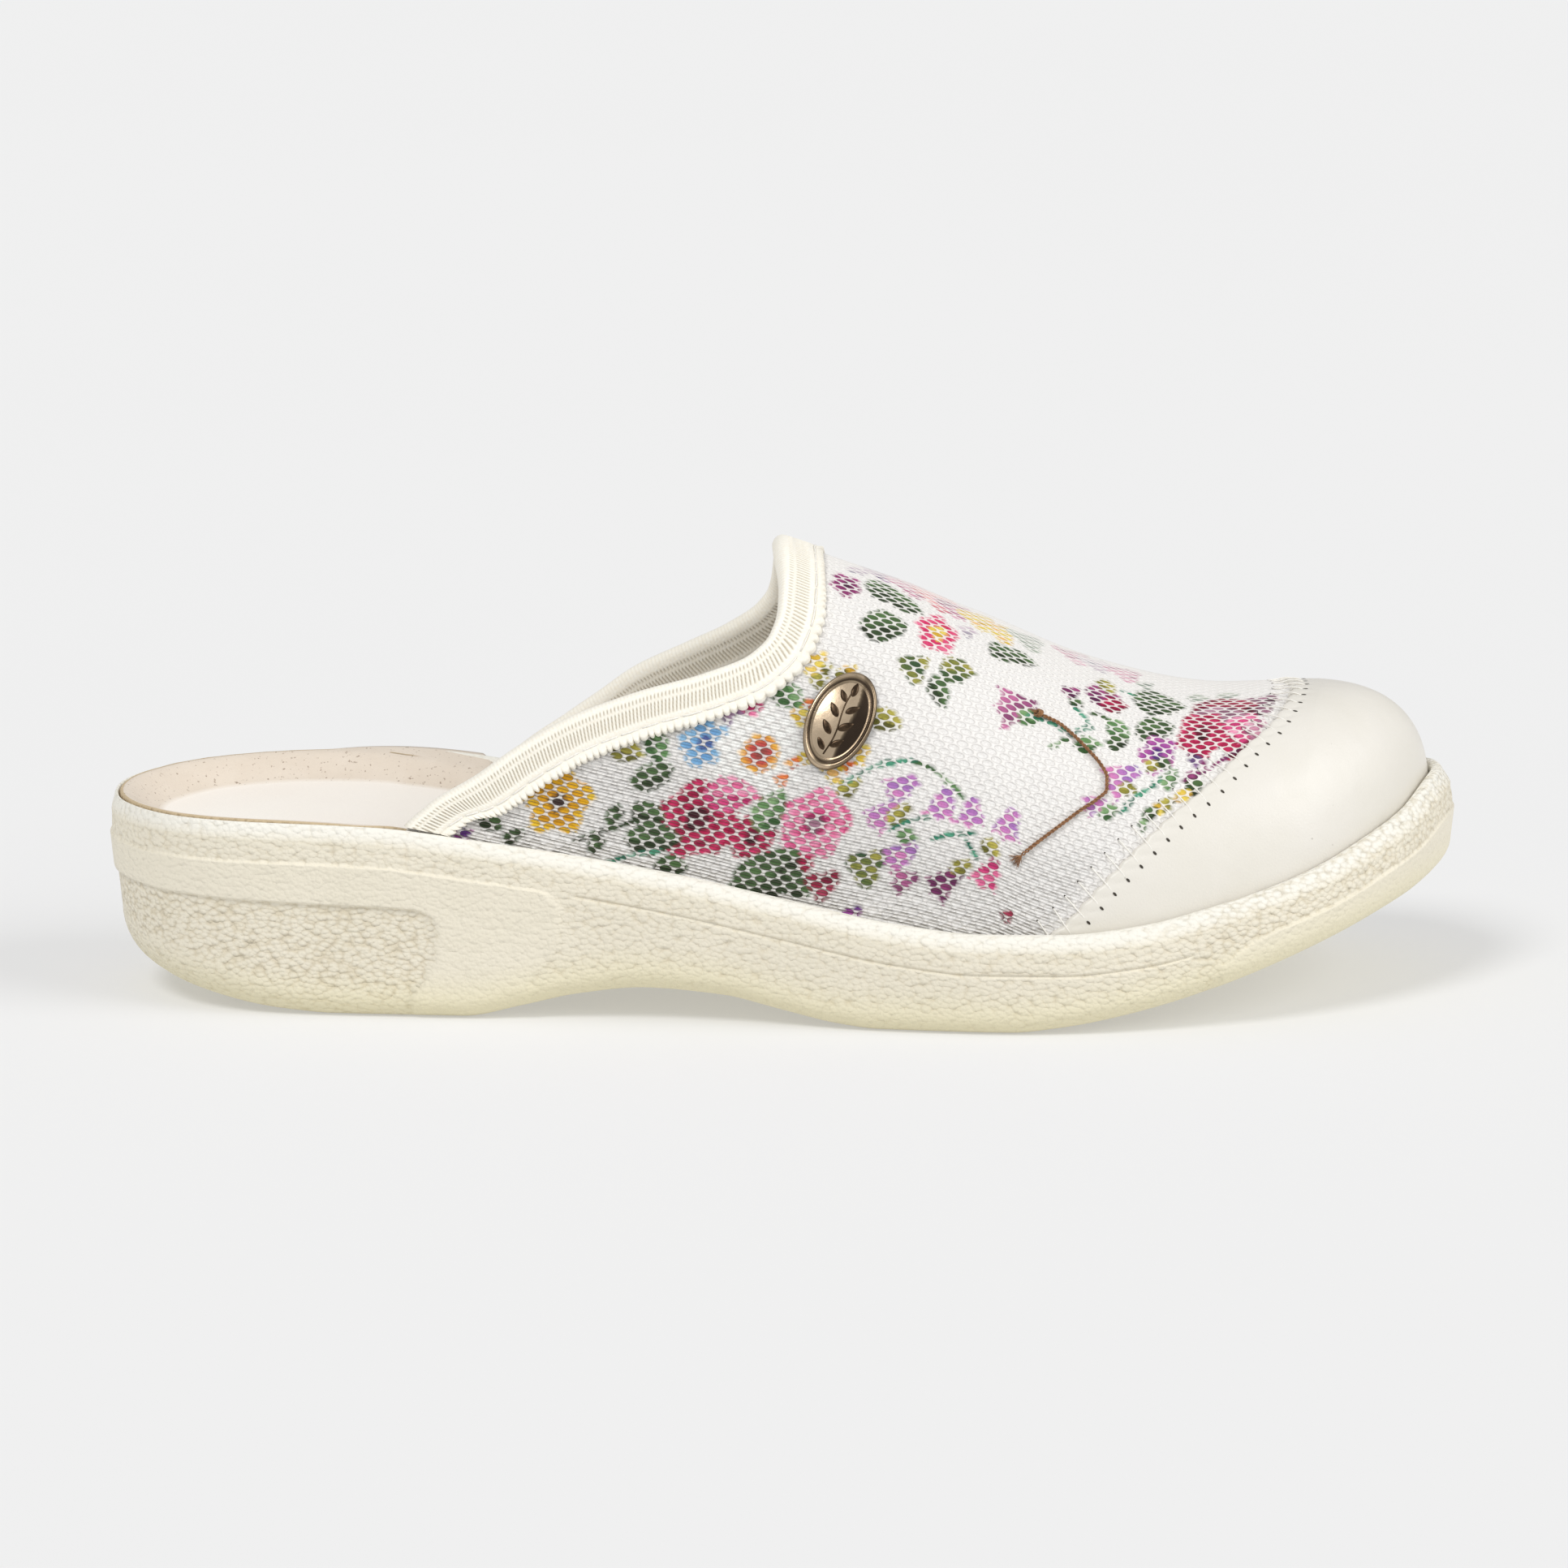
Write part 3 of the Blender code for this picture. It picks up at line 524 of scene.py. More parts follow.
def paint(made, name, values):
    """Stores a number or a colour for each vertex of a piece."""
    values = np.asarray(values, np.float32)
    if values.ndim == 1:
        layer = made.data.attributes.new(name, "FLOAT", "POINT")
        layer.data.foreach_set("value", values)
    else:
        layer = made.data.color_attributes.new(name, "FLOAT_COLOR", "POINT")
        full = np.concatenate([values, np.ones((len(values), 1), np.float32)], 1)
        layer.data.foreach_set("color", full.ravel())


def add_to_shoe(made, slot, *nodes):
    """Fixes a piece to the shoe, in the place of the part's nodes, which it hides; the slot is not used."""
    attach(made, "root")
    if nodes:
        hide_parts(*nodes)


class Tubes:
    """Gathers round tubes along lines of points into one mesh."""

    def __init__(self):
        self.points, self.faces, self.count = [], [], 0

    def add(self, line, radius, sides=8):
        line = np.asarray(line, float)
        radius = np.broadcast_to(np.asarray(radius, float), len(line))
        tangent = unit(np.gradient(line, axis=0))
        side = np.cross(tangent[0], (0.31, 0.52, 0.79))
        ring = 2 * math.pi * np.arange(sides) / sides
        rows = []
        for k in range(len(line)):
            side = unit(side - tangent[k] * side.dot(tangent[k]))
            other = np.cross(tangent[k], side)
            spokes = np.cos(ring)[:, None] * side + np.sin(ring)[:, None] * other
            rows.append(line[k] + spokes * radius[k])
        start = self.count
        self.points.append(np.concatenate(rows + [line[:1], line[-1:]]))
        faces = grid_faces(len(line), sides, True, start).tolist()
        first, last = start + len(line) * sides, start + len(line) * sides + 1
        for k in range(sides):
            faces.append([first, start + (k + 1) % sides, start + k])
            far = start + (len(line) - 1) * sides
            faces.append([last, far + k, far + (k + 1) % sides])
        self.faces += faces
        self.count += len(line) * sides + 2

    def make(self, name, surface):
        return make_object(name, np.concatenate(self.points), self.faces, [surface])


# Materials


def tone(code):
    """Linear colour of a sRGB code such as 7FA0C0."""
    srgb = np.array([int(code[k : k + 2], 16) / 255 for k in (0, 2, 4)])
    return np.where(srgb <= 0.04045, srgb / 12.92, ((srgb + 0.055) / 1.055) ** 2.4)


class Surface:
    """A Principled material with short ways to drive its colour, gloss and bump."""

    def __init__(self, name, roughness, **sockets):
        self.material = bpy.data.materials.new(name)
        self.material.use_nodes = True
        self.nodes = self.material.node_tree.nodes
        self.links = self.material.node_tree.links
        self.shader = self.nodes["Principled BSDF"]
        self.shader.inputs["Roughness"].default_value = roughness
        for socket, value in sockets.items():
            self.shader.inputs[socket.replace("_", " ")].default_value = value
        self.place = self.nodes.new("ShaderNodeTexCoord").outputs["Object"]

    def new(self, kind, inputs=(), **settings):
        made = self.nodes.new("ShaderNode" + kind)
        for key, value in settings.items():
            setattr(made, key, value)
        for key, value in dict(inputs).items():
            self.put(value, made.inputs[key])
        return made

    def put(self, value, socket):
        if isinstance(value, bpy.types.NodeSocket):
            self.links.new(value, socket)
        elif isinstance(value, str):
            socket.default_value = (*tone(value), 1.0)
        else:
            socket.default_value = value

    def maths(self, operation, *values):
        made = self.new("Math", operation=operation)
        for socket, value in zip(made.inputs, values):
            self.put(value, socket)
        return made.outputs[0]

    def times(self, first, second):
        return self.maths("MULTIPLY", first, second)

    def span(self, value, low, high, start=0.0, end=1.0):
        """Runs from start to end while a value runs from low to high."""
        limits = {"From Min": low, "From Max": high, "To Min": start, "To Max": end}
        return self.new("MapRange", {"Value": value, **limits}).outputs[0]

    def noise(self, size, detail=3.0, roughness=0.55, place=None):
        """Noise from 0 to 1 with features of about this size in metres."""
        made = self.new("TexNoise", {"Scale": 1.0 / size, "Detail": detail, "Roughness": roughness})
        self.links.new(place or self.place, made.inputs["Vector"])
        return made.outputs["Fac"]

    def cells(self, size, feature="DISTANCE_TO_EDGE", stretch=(1, 1, 1), swirl=0.0):
        """Voronoi distances with cells of about this size, bent by a noise."""
        place = self.new("VectorMath", {0: self.place, 1: stretch}, operation="MULTIPLY").outputs[0]
        if swirl:
            bend = self.new("TexNoise", {"Scale": 0.5 / size, "Detail": 2.0, "Vector": self.place})
            ends = {0: bend.outputs["Color"], 1: (swirl * size,) * 3}
            bend = self.new("VectorMath", ends, operation="MULTIPLY").outputs[0]
            place = self.new("VectorMath", {0: place, 1: bend}, operation="ADD").outputs[0]
        made = self.new("TexVoronoi", {"Scale": 1.0 / size, "Vector": place}, feature=feature)
        return made.outputs["Distance"]

    def layer(self, name, output="Fac"):
        return self.new("Attribute", attribute_name=name).outputs[output]

    def ramp(self, value, stops):
        """Colours or greys along a value: pairs of place and sRGB code."""
        made = self.new("ValToRGB")
        self.links.new(value, made.inputs[0])
        elements = made.color_ramp.elements
        while len(elements) < len(stops):
            elements.new(0.5)
        for element, (place, code) in zip(elements, stops):
            element.position = place
            element.color = (*tone(code), 1.0)
        return made.outputs[0]

    def mottle(self, size, detail, dark, light):
        """Two close colours in patches of about this size."""
        return self.ramp(self.noise(size, detail), ((0.3, dark), (0.7, light)))

    def mix(self, share, first, second, blend="MIX"):
        made = self.new("MixRGB", blend_type=blend)
        for socket, value in zip(made.inputs, (share, first, second)):
            self.put(value, socket)
        return made.outputs[0]

    def colour(self, value):
        self.put(value, self.shader.inputs["Base Color"])

    def bump(self, height, depth, strength=1.0):
        """Adds a bump whose height of 1 stands for this depth in metres."""
        made = self.new("Bump", {"Height": height, "Distance": depth, "Strength": strength})
        before = self.shader.inputs["Normal"]
        if before.is_linked:
            self.links.new(before.links[0].from_socket, made.inputs["Normal"])
        self.links.new(made.outputs[0], before)

    def gloss(self, value, low, high):
        """Roughness that runs from low to high with a value."""
        self.put(self.span(value, 0.0, 1.0, low, high), self.shader.inputs["Roughness"])


def sole_surface():
    """Cream foam: leathery grain, coarse or fine by place, with painted shade that makes it darker and
    yellower low down and in the creases between the pebbles, and a painted highlight that makes the rim's
    top paler.
    """
    foam = Surface("cream_foam", 0.5, Specular_IOR_Level=0.35)
    grain, low = foam.layer("grain"), foam.layer("low")
    worn = foam.noise(22 * MM, 3)
    cream = foam.ramp(worn, ((0.3, "E6DFCC"), (0.7, "EAE3D1")))
    # Painted highlight: the rim's top turns paler.
    cream = foam.mix(foam.maths("MAXIMUM", foam.times(low, -1.0), 0.0), cream, "F0EDE3")
    # Painted shade: darker and yellower low down and on the underside.
    yellow = foam.mix(foam.maths("MAXIMUM", low, 0.0), cream, "E6DEBC")
    pebbles = foam.cells(1.1 * MM, "F1", (0.8, 1, 1.2), 0.5)
    share = foam.maths("ADD", foam.times(grain, 0.7), 0.3)
    # Painted shade: darker in the creases between the pebbles.
    crease = foam.ramp(foam.times(pebbles, share), ((0.38, "FFFFFF"), (0.8, "F2EEE6")))
    foam.colour(foam.mix(1.0, yellow, crease, "MULTIPLY"))
    domes = foam.times(foam.times(pebbles, pebbles), share)
    foam.bump(domes, -0.42 * MM)
    fine = foam.cells(0.7 * MM, "F1", swirl=0.5)
    foam.bump(fine, -0.10 * MM)
    foam.bump(foam.noise(5 * MM, 2), 0.4 * MM, 0.6)
    foam.gloss(worn, 0.42, 0.58)
    return foam.material


def insole_surface():
    """Pinkish cream leather with fine pores and a few faint dents."""
    lining = Surface("footbed_leather", 0.55, Specular_IOR_Level=0.3)
    wall = lining.span(lining.layer("wall"), 0.05, 0.35)
    top = lining.mottle(30 * MM, 2, "FAF3EA", "FCF7EF")
    side = lining.mottle(6 * MM, 3, "DFD2C2", "E4D8C9")
    pores = lining.ramp(lining.noise(0.8 * MM, 2), ((0.27, "8C7662"), (0.36, "FFFFFF")))
    shade = lining.mix(wall, top, side)
    lining.colour(lining.mix(wall, shade, lining.mix(0.7, shade, pores, "MULTIPLY")))
    dents = lining.maths("SMOOTH_MIN", lining.cells(11 * MM, "F1", (0.45, 1, 1)), 0.12, 0.05)
    lining.bump(dents, 2.5 * MM, 0.6)
    lining.bump(lining.cells(0.8 * MM, swirl=1.0), 0.12 * MM, 0.6)
    return lining.material


def insole_edge_surface():
    """Cut edge of the footbed, tan above, with painted shade that turns it dark brown in the crack below.
    """
    cut = Surface("footbed_cut_edge", 0.8)
    height = cut.layer("height")
    rough = cut.noise(0.8 * MM, 3)
    mixed = cut.maths("ADD", height, cut.times(cut.maths("SUBTRACT", rough, 0.5), 0.9))
    # Painted shade: dark brown low in the crack, tan at the top.
    cut.colour(cut.ramp(mixed, ((0.15, "4A3A2A"), (0.5, "8C7656"), (0.85, "C9B594"))))
    cut.bump(rough, 0.2 * MM)
    return cut.material


LINES_IN_ROW = 2.0


def knit_lines_and_shade(cloth, strength):
    """Painted shade in the gaps between the fine threads along the net's rows, as broken dark lines, and
    the threads' own ripple."""
    rows, along, depth = (cloth.layer(name) for name in ("rows", "along", "depth"))
    ripple = cloth.maths("SINE", cloth.times(rows, 2 * math.pi * LINES_IN_ROW))
    across = cloth.times(rows, LINES_IN_ROW)
    place = cloth.new("CombineXYZ", {0: cloth.times(along, 0.3), 1: across}).outputs[0]
    dashes = cloth.new("TexNoise", {"Scale": 1.3, "Detail": 1.0, "Vector": place}).outputs["Fac"]
    dashes = cloth.span(dashes, 0.36, 0.50)
    # Painted shade: dark broken lines in the gaps between the threads, as strong as the depth layer says.
    dark = cloth.times(cloth.span(ripple, 0.70, 0.97), cloth.times(dashes, depth))
    ripple = cloth.times(ripple, cloth.maths("MINIMUM", cloth.times(depth, 2.0), 1.0))
    return ripple, cloth.maths("MINIMUM", cloth.times(dark, strength), 0.95)


def net_surface():
    """White knitted net: fine threads along its rows, with painted shade in the creases between them and
    round each window.
    """
    net = Surface("white_net", 0.65, Specular_IOR_Level=0.25, Sheen_Weight=0.15)
    ripple, dark = knit_lines_and_shade(net, 1.0)
    # Painted shade: a grey line round each window.
    edge = net.span(net.layer("outline"), 0.45, 1.0, 0.0, 0.20)
    thread = net.mix(0.2, "F1EEEA", net.layer("print", "Color"))
    thread = net.mix(edge, thread, "8C867E")
    # Painted shade between the threads darkens the net.
    net.colour(net.mix(dark, thread, "4E4841"))
    net.bump(ripple, 0.10 * MM)
    return net.material


def print_surface():
    """The printed cloth that shows in the cells of the net, with painted shade round each cell and in the
    gaps between the threads.
    """
    cloth = Surface("printed_cloth", 0.7, Specular_IOR_Level=0.2)
    ripple, dark = knit_lines_and_shade(cloth, 0.75)
    # Painted shade: a darker edge round each cell's print.
    edge = cloth.span(cloth.layer("outline"), 0.7, 1.0, 0.0, 0.26)
    grain = cloth.ramp(cloth.noise(0.35 * MM, 2), ((0.25, "C4C0BC"), (0.6, "FFFFFF")))
    ink = cloth.mix(0.4, cloth.layer("print", "Color"), grain, "MULTIPLY")
    ink = cloth.mix(edge, ink, "6E6862")
    # Painted shade between the threads darkens the cloth.
    cloth.colour(cloth.mix(dark, ink, "4E4841"))
    cloth.bump(ripple, 0.06 * MM)
    return cloth.material


def lining_surface():
    """Off-white woven lining."""
    lining = Surface("vamp_lining", 0.8, Sheen_Weight=0.2)
    lining.colour(lining.mottle(8 * MM, 3, "E9E4DC", "F0ECE4"))
    lining.bump(lining.cells(1.1 * MM), 0.12 * MM)
    return lining.material


def cap_surface():
    """Smooth warm white leather with a faint grain and soft stains."""
    leather = Surface("white_leather", 0.38, Specular_IOR_Level=0.4, Coat_Weight=0.08, Coat_Roughness=0.3)
    tint = leather.mottle(18 * MM, 3, "E1DDD3", "E5E1D9")
    speck = leather.ramp(leather.noise(1.3 * MM, 1), ((0.12, "8C8678"), (0.2, "FFFFFF")))
    leather.colour(leather.mix(0.5, tint, speck, "MULTIPLY"))
    leather.bump(leather.cells(0.7 * MM, swirl=1.0), 0.06 * MM, 0.6)
    leather.bump(leather.noise(9 * MM, 2), 0.5 * MM, 0.5)
    leather.gloss(leather.noise(4 * MM, 2), 0.32, 0.46)
    return leather.material


def tape_surface():
    """Ivory knitted tape: soft yarn, with painted shade in the dips between its ribs, in its seam, between
    its picots and on its hidden face.
    """
    tape = Surface("ivory_knit", 0.8, Sheen_Weight=0.3, Specular_IOR_Level=0.2)
    dip = tape.layer("dip")
    yarn = tape.mottle(0.5 * MM, 2, "F9F3E4", "FDFAF0")
    # Painted shade: darker yarn where the dip shade layer is high.
    tape.colour(tape.mix(dip, yarn, "B4A78E"))
    tape.bump(tape.noise(0.35 * MM, 3), 0.12 * MM, 0.8)
    return tape.material


def badge_surface():
    """Antique bronze: a polished pale field with a painted dark reflection towards its lower front, and
    tarnish in the rim's hollows.
    """
    metal = Surface("antique_bronze", 0.26, Metallic=1.0)
    tarnish = metal.layer("tarnish")
    uneven = metal.times(metal.maths("SUBTRACT", metal.noise(3 * MM, 3), 0.5), 0.12)
    share = metal.maths("ADD", tarnish, uneven)
    # Pale to dark bronze along the rim's tarnish and the painted reflection.
    tones = (0.0, "E3CFB4"), (0.42, "D6C0A4"), (0.52, "9A8870"), (0.74, "6A5C4C"), (1.0, "4A3E34")
    metal.colour(metal.ramp(share, tones))
    metal.bump(metal.noise(0.6 * MM, 3), 0.03 * MM, 0.5)
    metal.gloss(metal.noise(2 * MM, 2), 0.2, 0.36)
    return metal.material


def thread_surface(name, dark, light, size):
    """Spun yarn between two close colours."""
    yarn = Surface(name, 0.75, Sheen_Weight=0.3, Specular_IOR_Level=0.25)
    yarn.colour(yarn.mottle(size, 3, dark, light))
    yarn.bump(yarn.noise(size / 2, 2), 0.08 * MM)
    return yarn.material


def dark_bronze_surface():
    metal = Surface("dark_bronze", 0.35, Metallic=1.0)
    metal.colour(metal.mottle(0.8 * MM, 2, "3A2E24", "5A4A3A"))
    return metal.material


def hole_shade_surface():
    # Painted shade: a dark disc stands for the shade inside a needle hole.
    pit = Surface("needle_hole_shade", 0.9)
    pit.colour(pit.mottle(0.3 * MM, 2, "2A2620", "4A443A"))
    return pit.material


# Sole


SIDE_COUNT = 400
PLATE_FRONT = 86.5 * MM
WINDOW_FRONT = 63.3 * MM
FRONT_BOW = 35.0
PLATE_BOW_START = 12.4 * MM
WINDOW_BOW_START = 19.5 * MM
PLATE_CORNER = 4 * MM
STEP_EASE = 0.35 * MM
TOE_PLATE_START = 222.3 * MM
TOE_PLATE_SWEEP = 15.5 * MM
TOE_PLATE_DROP = 6.3 * MM
TOE_BAND_START = 196 * MM
TOE_BAND_END = 215 * MM
LINE_START = 87.7 * MM
LINE_END = 206.6 * MM
LINE_FADE = 3 * MM
LINE_SPREAD = 0.28 * MM
LINE_DEPTH = 0.42 * MM
GROOVE_EASE = 0.3 * MM
# Heights over which the foam turns darker and yellower above the floor, a painted shade, and paler below
# the rim, a painted highlight
FLOOR_SHADE_BAND = (0.5 * MM, 11 * MM)
RIM_HIGHLIGHT_BAND = (-3.5 * MM, -0.5 * MM)
FLOOR_SHADE_MOST = 0.85
FLAT_GRAIN = 0.4


def dense_stations(count):
    """Stations spaced evenly along the sole's edge, from the heel to the toe."""
    paths = [outline(side, STATIONS)[0] for side in (LATERAL, MEDIAL)]
    steps = sum(np.linalg.norm(np.diff(path, axis=0), axis=1) for path in paths)
    run = np.concatenate([[0.0], np.cumsum(steps)])
    return np.interp(np.linspace(0, run[-1], count), run, STATIONS)


def rounded_corner(first, second, radius):
    """The distance inside two edges that meet in a corner of this radius."""
    x, y = np.maximum(radius - first, 0), np.maximum(radius - second, 0)
    return np.where((x > 0) & (y > 0), radius - np.hypot(x, y), np.minimum(first, second))


def side_relief(x, below, window_top):
    """How far the sole's side steps in at x from the heel and below the rim, and the
    share of coarse grain there."""

    def plate_share(top, front, bow_start):
        """1 on a plate with this top and this front edge, which bows back lower down."""
        bow = FRONT_BOW * np.maximum(below - bow_start, 0) ** 2
        edge = rounded_corner(below - top, front - bow - x, PLATE_CORNER)
        return smooth(-STEP_EASE, STEP_EASE, edge)

    plate = plate_share(BAND_HEIGHT, PLATE_FRONT, PLATE_BOW_START)
    window = plate_share(window_top, WINDOW_FRONT, WINDOW_BOW_START)
    sweep = np.sqrt(np.clip((below - BAND_HEIGHT) / TOE_PLATE_DROP, 0, 1))
    toe = np.minimum(below - BAND_HEIGHT, (x - TOE_PLATE_START + TOE_PLATE_SWEEP * sweep) * 0.6)
    toe = smooth(-STEP_EASE, STEP_EASE, toe)
    line = smooth(LINE_START, LINE_START + LINE_FADE, x) * (1 - smooth(LINE_END - LINE_FADE, LINE_END, x))
    groove = np.exp(-(((below - BAND_HEIGHT) / LINE_SPREAD) ** 2)) * line
    step = WINDOW_DEPTH * window - PLATE_PROUD * (plate + toe) + LINE_DEPTH * groove
    toe_band = smooth(TOE_BAND_START, TOE_BAND_END, x) * (1 - toe)
    grain = 0.62 - 0.42 * plate * (1 - window) + 0.38 * window - 0.5 * toe + 0.3 * toe_band
    return step, np.clip(grain, 0.08, 1.0)


def side_depths(depth, lower, window_top):
    """Depths below the rim where a section has points, closer together at the steps."""
    lower = np.maximum(lower, BAND_HEIGHT + 1.5 * MM)
    first = np.clip(window_top - MM, BAND_HEIGHT + 1.1 * MM, lower - 0.3 * MM)
    second = np.clip(window_top + MM, first + 0.05 * MM, lower - 0.1 * MM)
    marks = (
        (0.4 * BAND_HEIGHT, BAND_HEIGHT - MM, 6),
        (BAND_HEIGHT - MM, BAND_HEIGHT + MM, 12),
        (BAND_HEIGHT + MM, first, 9),
        (first, second, 8),
        (second, lower, 18),
    )
    runs = [
        (start + 0 * lower)[:, None] + (end - start + 0 * lower)[:, None] * (np.arange(count) / count)
        for start, end, count in marks
    ]
    return np.concatenate(runs + [lower[:, None]], 1)


def catmull(points, count):
    """A smooth line through columns of points, with this many steps between two."""
    made = []
    for k in range(1, len(points) - 2):
        p0, p1, p2, p3 = points[k - 1 : k + 3]
        for step in range(count):
            s = step / count
            square, cube = 2 * p0 - 5 * p1 + 4 * p2 - p3, 3 * p1 - p0 - 3 * p2 + p3
            made.append(0.5 * (2 * p1 + (p2 - p0) * s + square * s**2 + cube * s**3))
    return made


def sole_side(side, a):
    """Sections of one side: points, coarse grain, and lowness (below 0 at the rim), which sets the painted
    shade low down and the painted highlight on the rim.
    """
    plan, inward = outline(side, a)
    share = share_of(plan[:, 0])
    rim = rim_height(side, share)
    width = RIM_WIDTH * rim_width_share(share)
    seat = seat_height(side, share)
    lean = BAND_LEAN * lean_share(share)
    crest = width - lean
    ledge = SEAT_LEDGE * ledge_share(share)
    rounding = EDGE_ROUND * round_share(share)
    flat_inset = SIDE_DRAFT * rim + rounding * 0.8
    floor = underside(share_of(plan[:, 0] + inward[:, 0] * flat_inset))
    depth = rim - floor
    window_top = BAND_HEIGHT + WINDOW_TOP_SHARE * (depth - BAND_HEIGHT)

    def pair(inset, height):
        return np.stack([inset, height], -1)

    crown = rim + 0.6 * RIM_CROWN
    rim_line = [
        pair(width, seat),
        pair(width, rim - 0.1 * LIP_DEPTH),
        pair(lean + crest * 0.75, crown),
        pair(lean + crest * 0.4, crown),
        pair(lean + crest * 0.12, rim - 0.13 * BAND_HEIGHT),
        pair(lean * 0.5, rim - 0.4 * BAND_HEIGHT),
        pair(lean * 0.3, rim - 0.7 * BAND_HEIGHT),
    ]
    cup = pair(width + ledge + CUP_RUN, seat - CUP_DEPTH * cup_share(share))
    top = np.stack([cup, pair(width + ledge, seat), pair(width, seat), *catmull(rim_line, 6)], 1)

    below = side_depths(depth, depth - rounding, window_top)
    step, grain = side_relief(share[:, None] * SOLE_LENGTH, below, window_top[:, None])
    draft = SIDE_DRAFT * np.maximum(below - 0.4 * BAND_HEIGHT, 0.0)
    shoulder = (lean * 0.5)[:, None] * (1 - smooth(0.4 * BAND_HEIGHT, 0.9 * BAND_HEIGHT, below))
    side_part = np.stack([draft + shoulder + step, rim[:, None] - below], -1)

    turns = np.radians(np.linspace(0, 90, 13)[1:])
    last_inset, last_height = side_part[:, -1, 0], side_part[:, -1, 1]
    fade = (1 - np.cos(turns))[None, :]
    curve = last_inset[:, None] + (flat_inset - last_inset)[:, None] * fade
    drop = last_height[:, None] + (floor - last_height)[:, None] * np.sin(turns)[None, :]
    bottom = np.stack([curve, drop], -1)

    profile = np.concatenate([top, side_part, bottom], 1)
    points = np.concatenate(
        [plan[:, None, :] + inward[:, None, :] * profile[..., :1], profile[..., 1:]], -1
    )
    rim_grain = np.repeat((0.5 + 0.45 * smooth(0.75, 0.85, share))[:, None], top.shape[1], 1)
    grains = np.concatenate([rim_grain, grain, np.repeat(grain[:, -1:] * 0.6, bottom.shape[1], 1)], 1)
    above = profile[..., 1] - floor[:, None]
    # Lowness: painted shade near the floor, and below 0 a painted highlight on the rim.
    low = (1 - smooth(*FLOOR_SHADE_BAND, above)) * FLOOR_SHADE_MOST
    low[:, : top.shape[1]] = -smooth(*RIM_HIGHLIGHT_BAND, top[..., 1] - rim[:, None])
    return points, grains, low


def make_sole(surface):
    """A ring of sections round the sole, closed by the cup's floor and by the tread."""
    a = dense_stations(SIDE_COUNT)
    lateral, medial = sole_side(LATERAL, a), sole_side(MEDIAL, a)
    ring, grain, low = (np.concatenate([out, back[-2:0:-1]]) for out, back in zip(lateral, medial))
    points = [np.swapaxes(ring, 0, 1).reshape(-1, 3)]
    layers = [np.stack([grain.T.ravel(), low.T.ravel()], 1)]
    faces = [grid_faces(ring.shape[1], ring.shape[0], closed=True)]
    # The underside takes the strongest painted shade of the low band.
    for place, columns, lowness in ((0, 6, 0.0), (-1, 34, FLOOR_SHADE_MOST)):
        near, far = lateral[0][:, place, None], medial[0][:, place, None]
        shares = np.linspace(0, 1, columns)[None, :, None]
        strip = near * (1 - shares) + far * shares
        if lowness:
            strip = cut_tread(strip)
        faces.append(grid_faces(len(a), columns, start=sum(len(part) for part in points)))
        points.append(strip.reshape(-1, 3))
        layers.append(np.tile((FLAT_GRAIN, lowness), (len(a) * columns, 1)))
    made = make_object("sole_foam", np.concatenate(points), np.concatenate(faces), [surface])
    grain, low = np.concatenate(layers).T
    paint(made, "grain", grain)
    paint(made, "low", low)
    mend(made, WELD)
    add_to_shoe(made, "sole", "sole")


def cut_tread(strip):
    """Presses the straight cross grooves of the tread into the underside."""
    strip = strip.copy()
    share = share_of(strip[..., 0])
    a = station_at(share)
    margin = GROOVE_MARGIN + EDGE_ROUND * round_share(share)
    low = outline(LATERAL, a)[0][..., 1] + margin
    high = outline(MEDIAL, a)[0][..., 1] - margin
    inside = smooth(low - MM, low, strip[..., 1]) * (1 - smooth(high, high + MM, strip[..., 1]))
    pitch = GROOVE_PITCH / SOLE_LENGTH
    for start, end in (HEEL_TREAD, FORE_TREAD):
        count = int((end - start) / pitch)
        nearest = np.clip(np.round((share - start) / pitch), 0, count)
        away = np.abs(share - start - nearest * pitch) * SOLE_LENGTH
        cut = 1 - smooth(GROOVE_WIDTH / 2 - GROOVE_EASE, GROOVE_WIDTH / 2 + GROOVE_EASE, away)
        strip[..., 2] += GROOVE_DEPTH * cut * inside
    return strip


# Footbed


EDGE_RISE = 0.35 * MM
EDGE_ROUNDING = 0.35 * MM
LEAST_LEDGE = 0.4 * MM
LAP_HEIGHT = 0.3 * MM
FOOTBED_WALL = 1.4 * MM
CRACK_WOBBLE = 0.07 * MM
# Cut edge of the footbed: place inwards in mm, share of its height.
EDGE_PROFILE = ((0.25, 0.0), (-0.16, 0.05), (-0.22, 0.5), (-0.12, 0.85), (0.12, 0.93), (0.6, 0.9))


def insole_inset(share):
    inside_vamp = vamp_gap(share) + VAMP_WALL + CLEARANCE
    return CLEARANCE + inside_vamp * smooth(0.185, 0.218, share)


def edge_rise(share):
    """The footbed's edge stands a little proud round the heel."""
    return EDGE_RISE * (1 - smooth(0.35, 0.45, share))


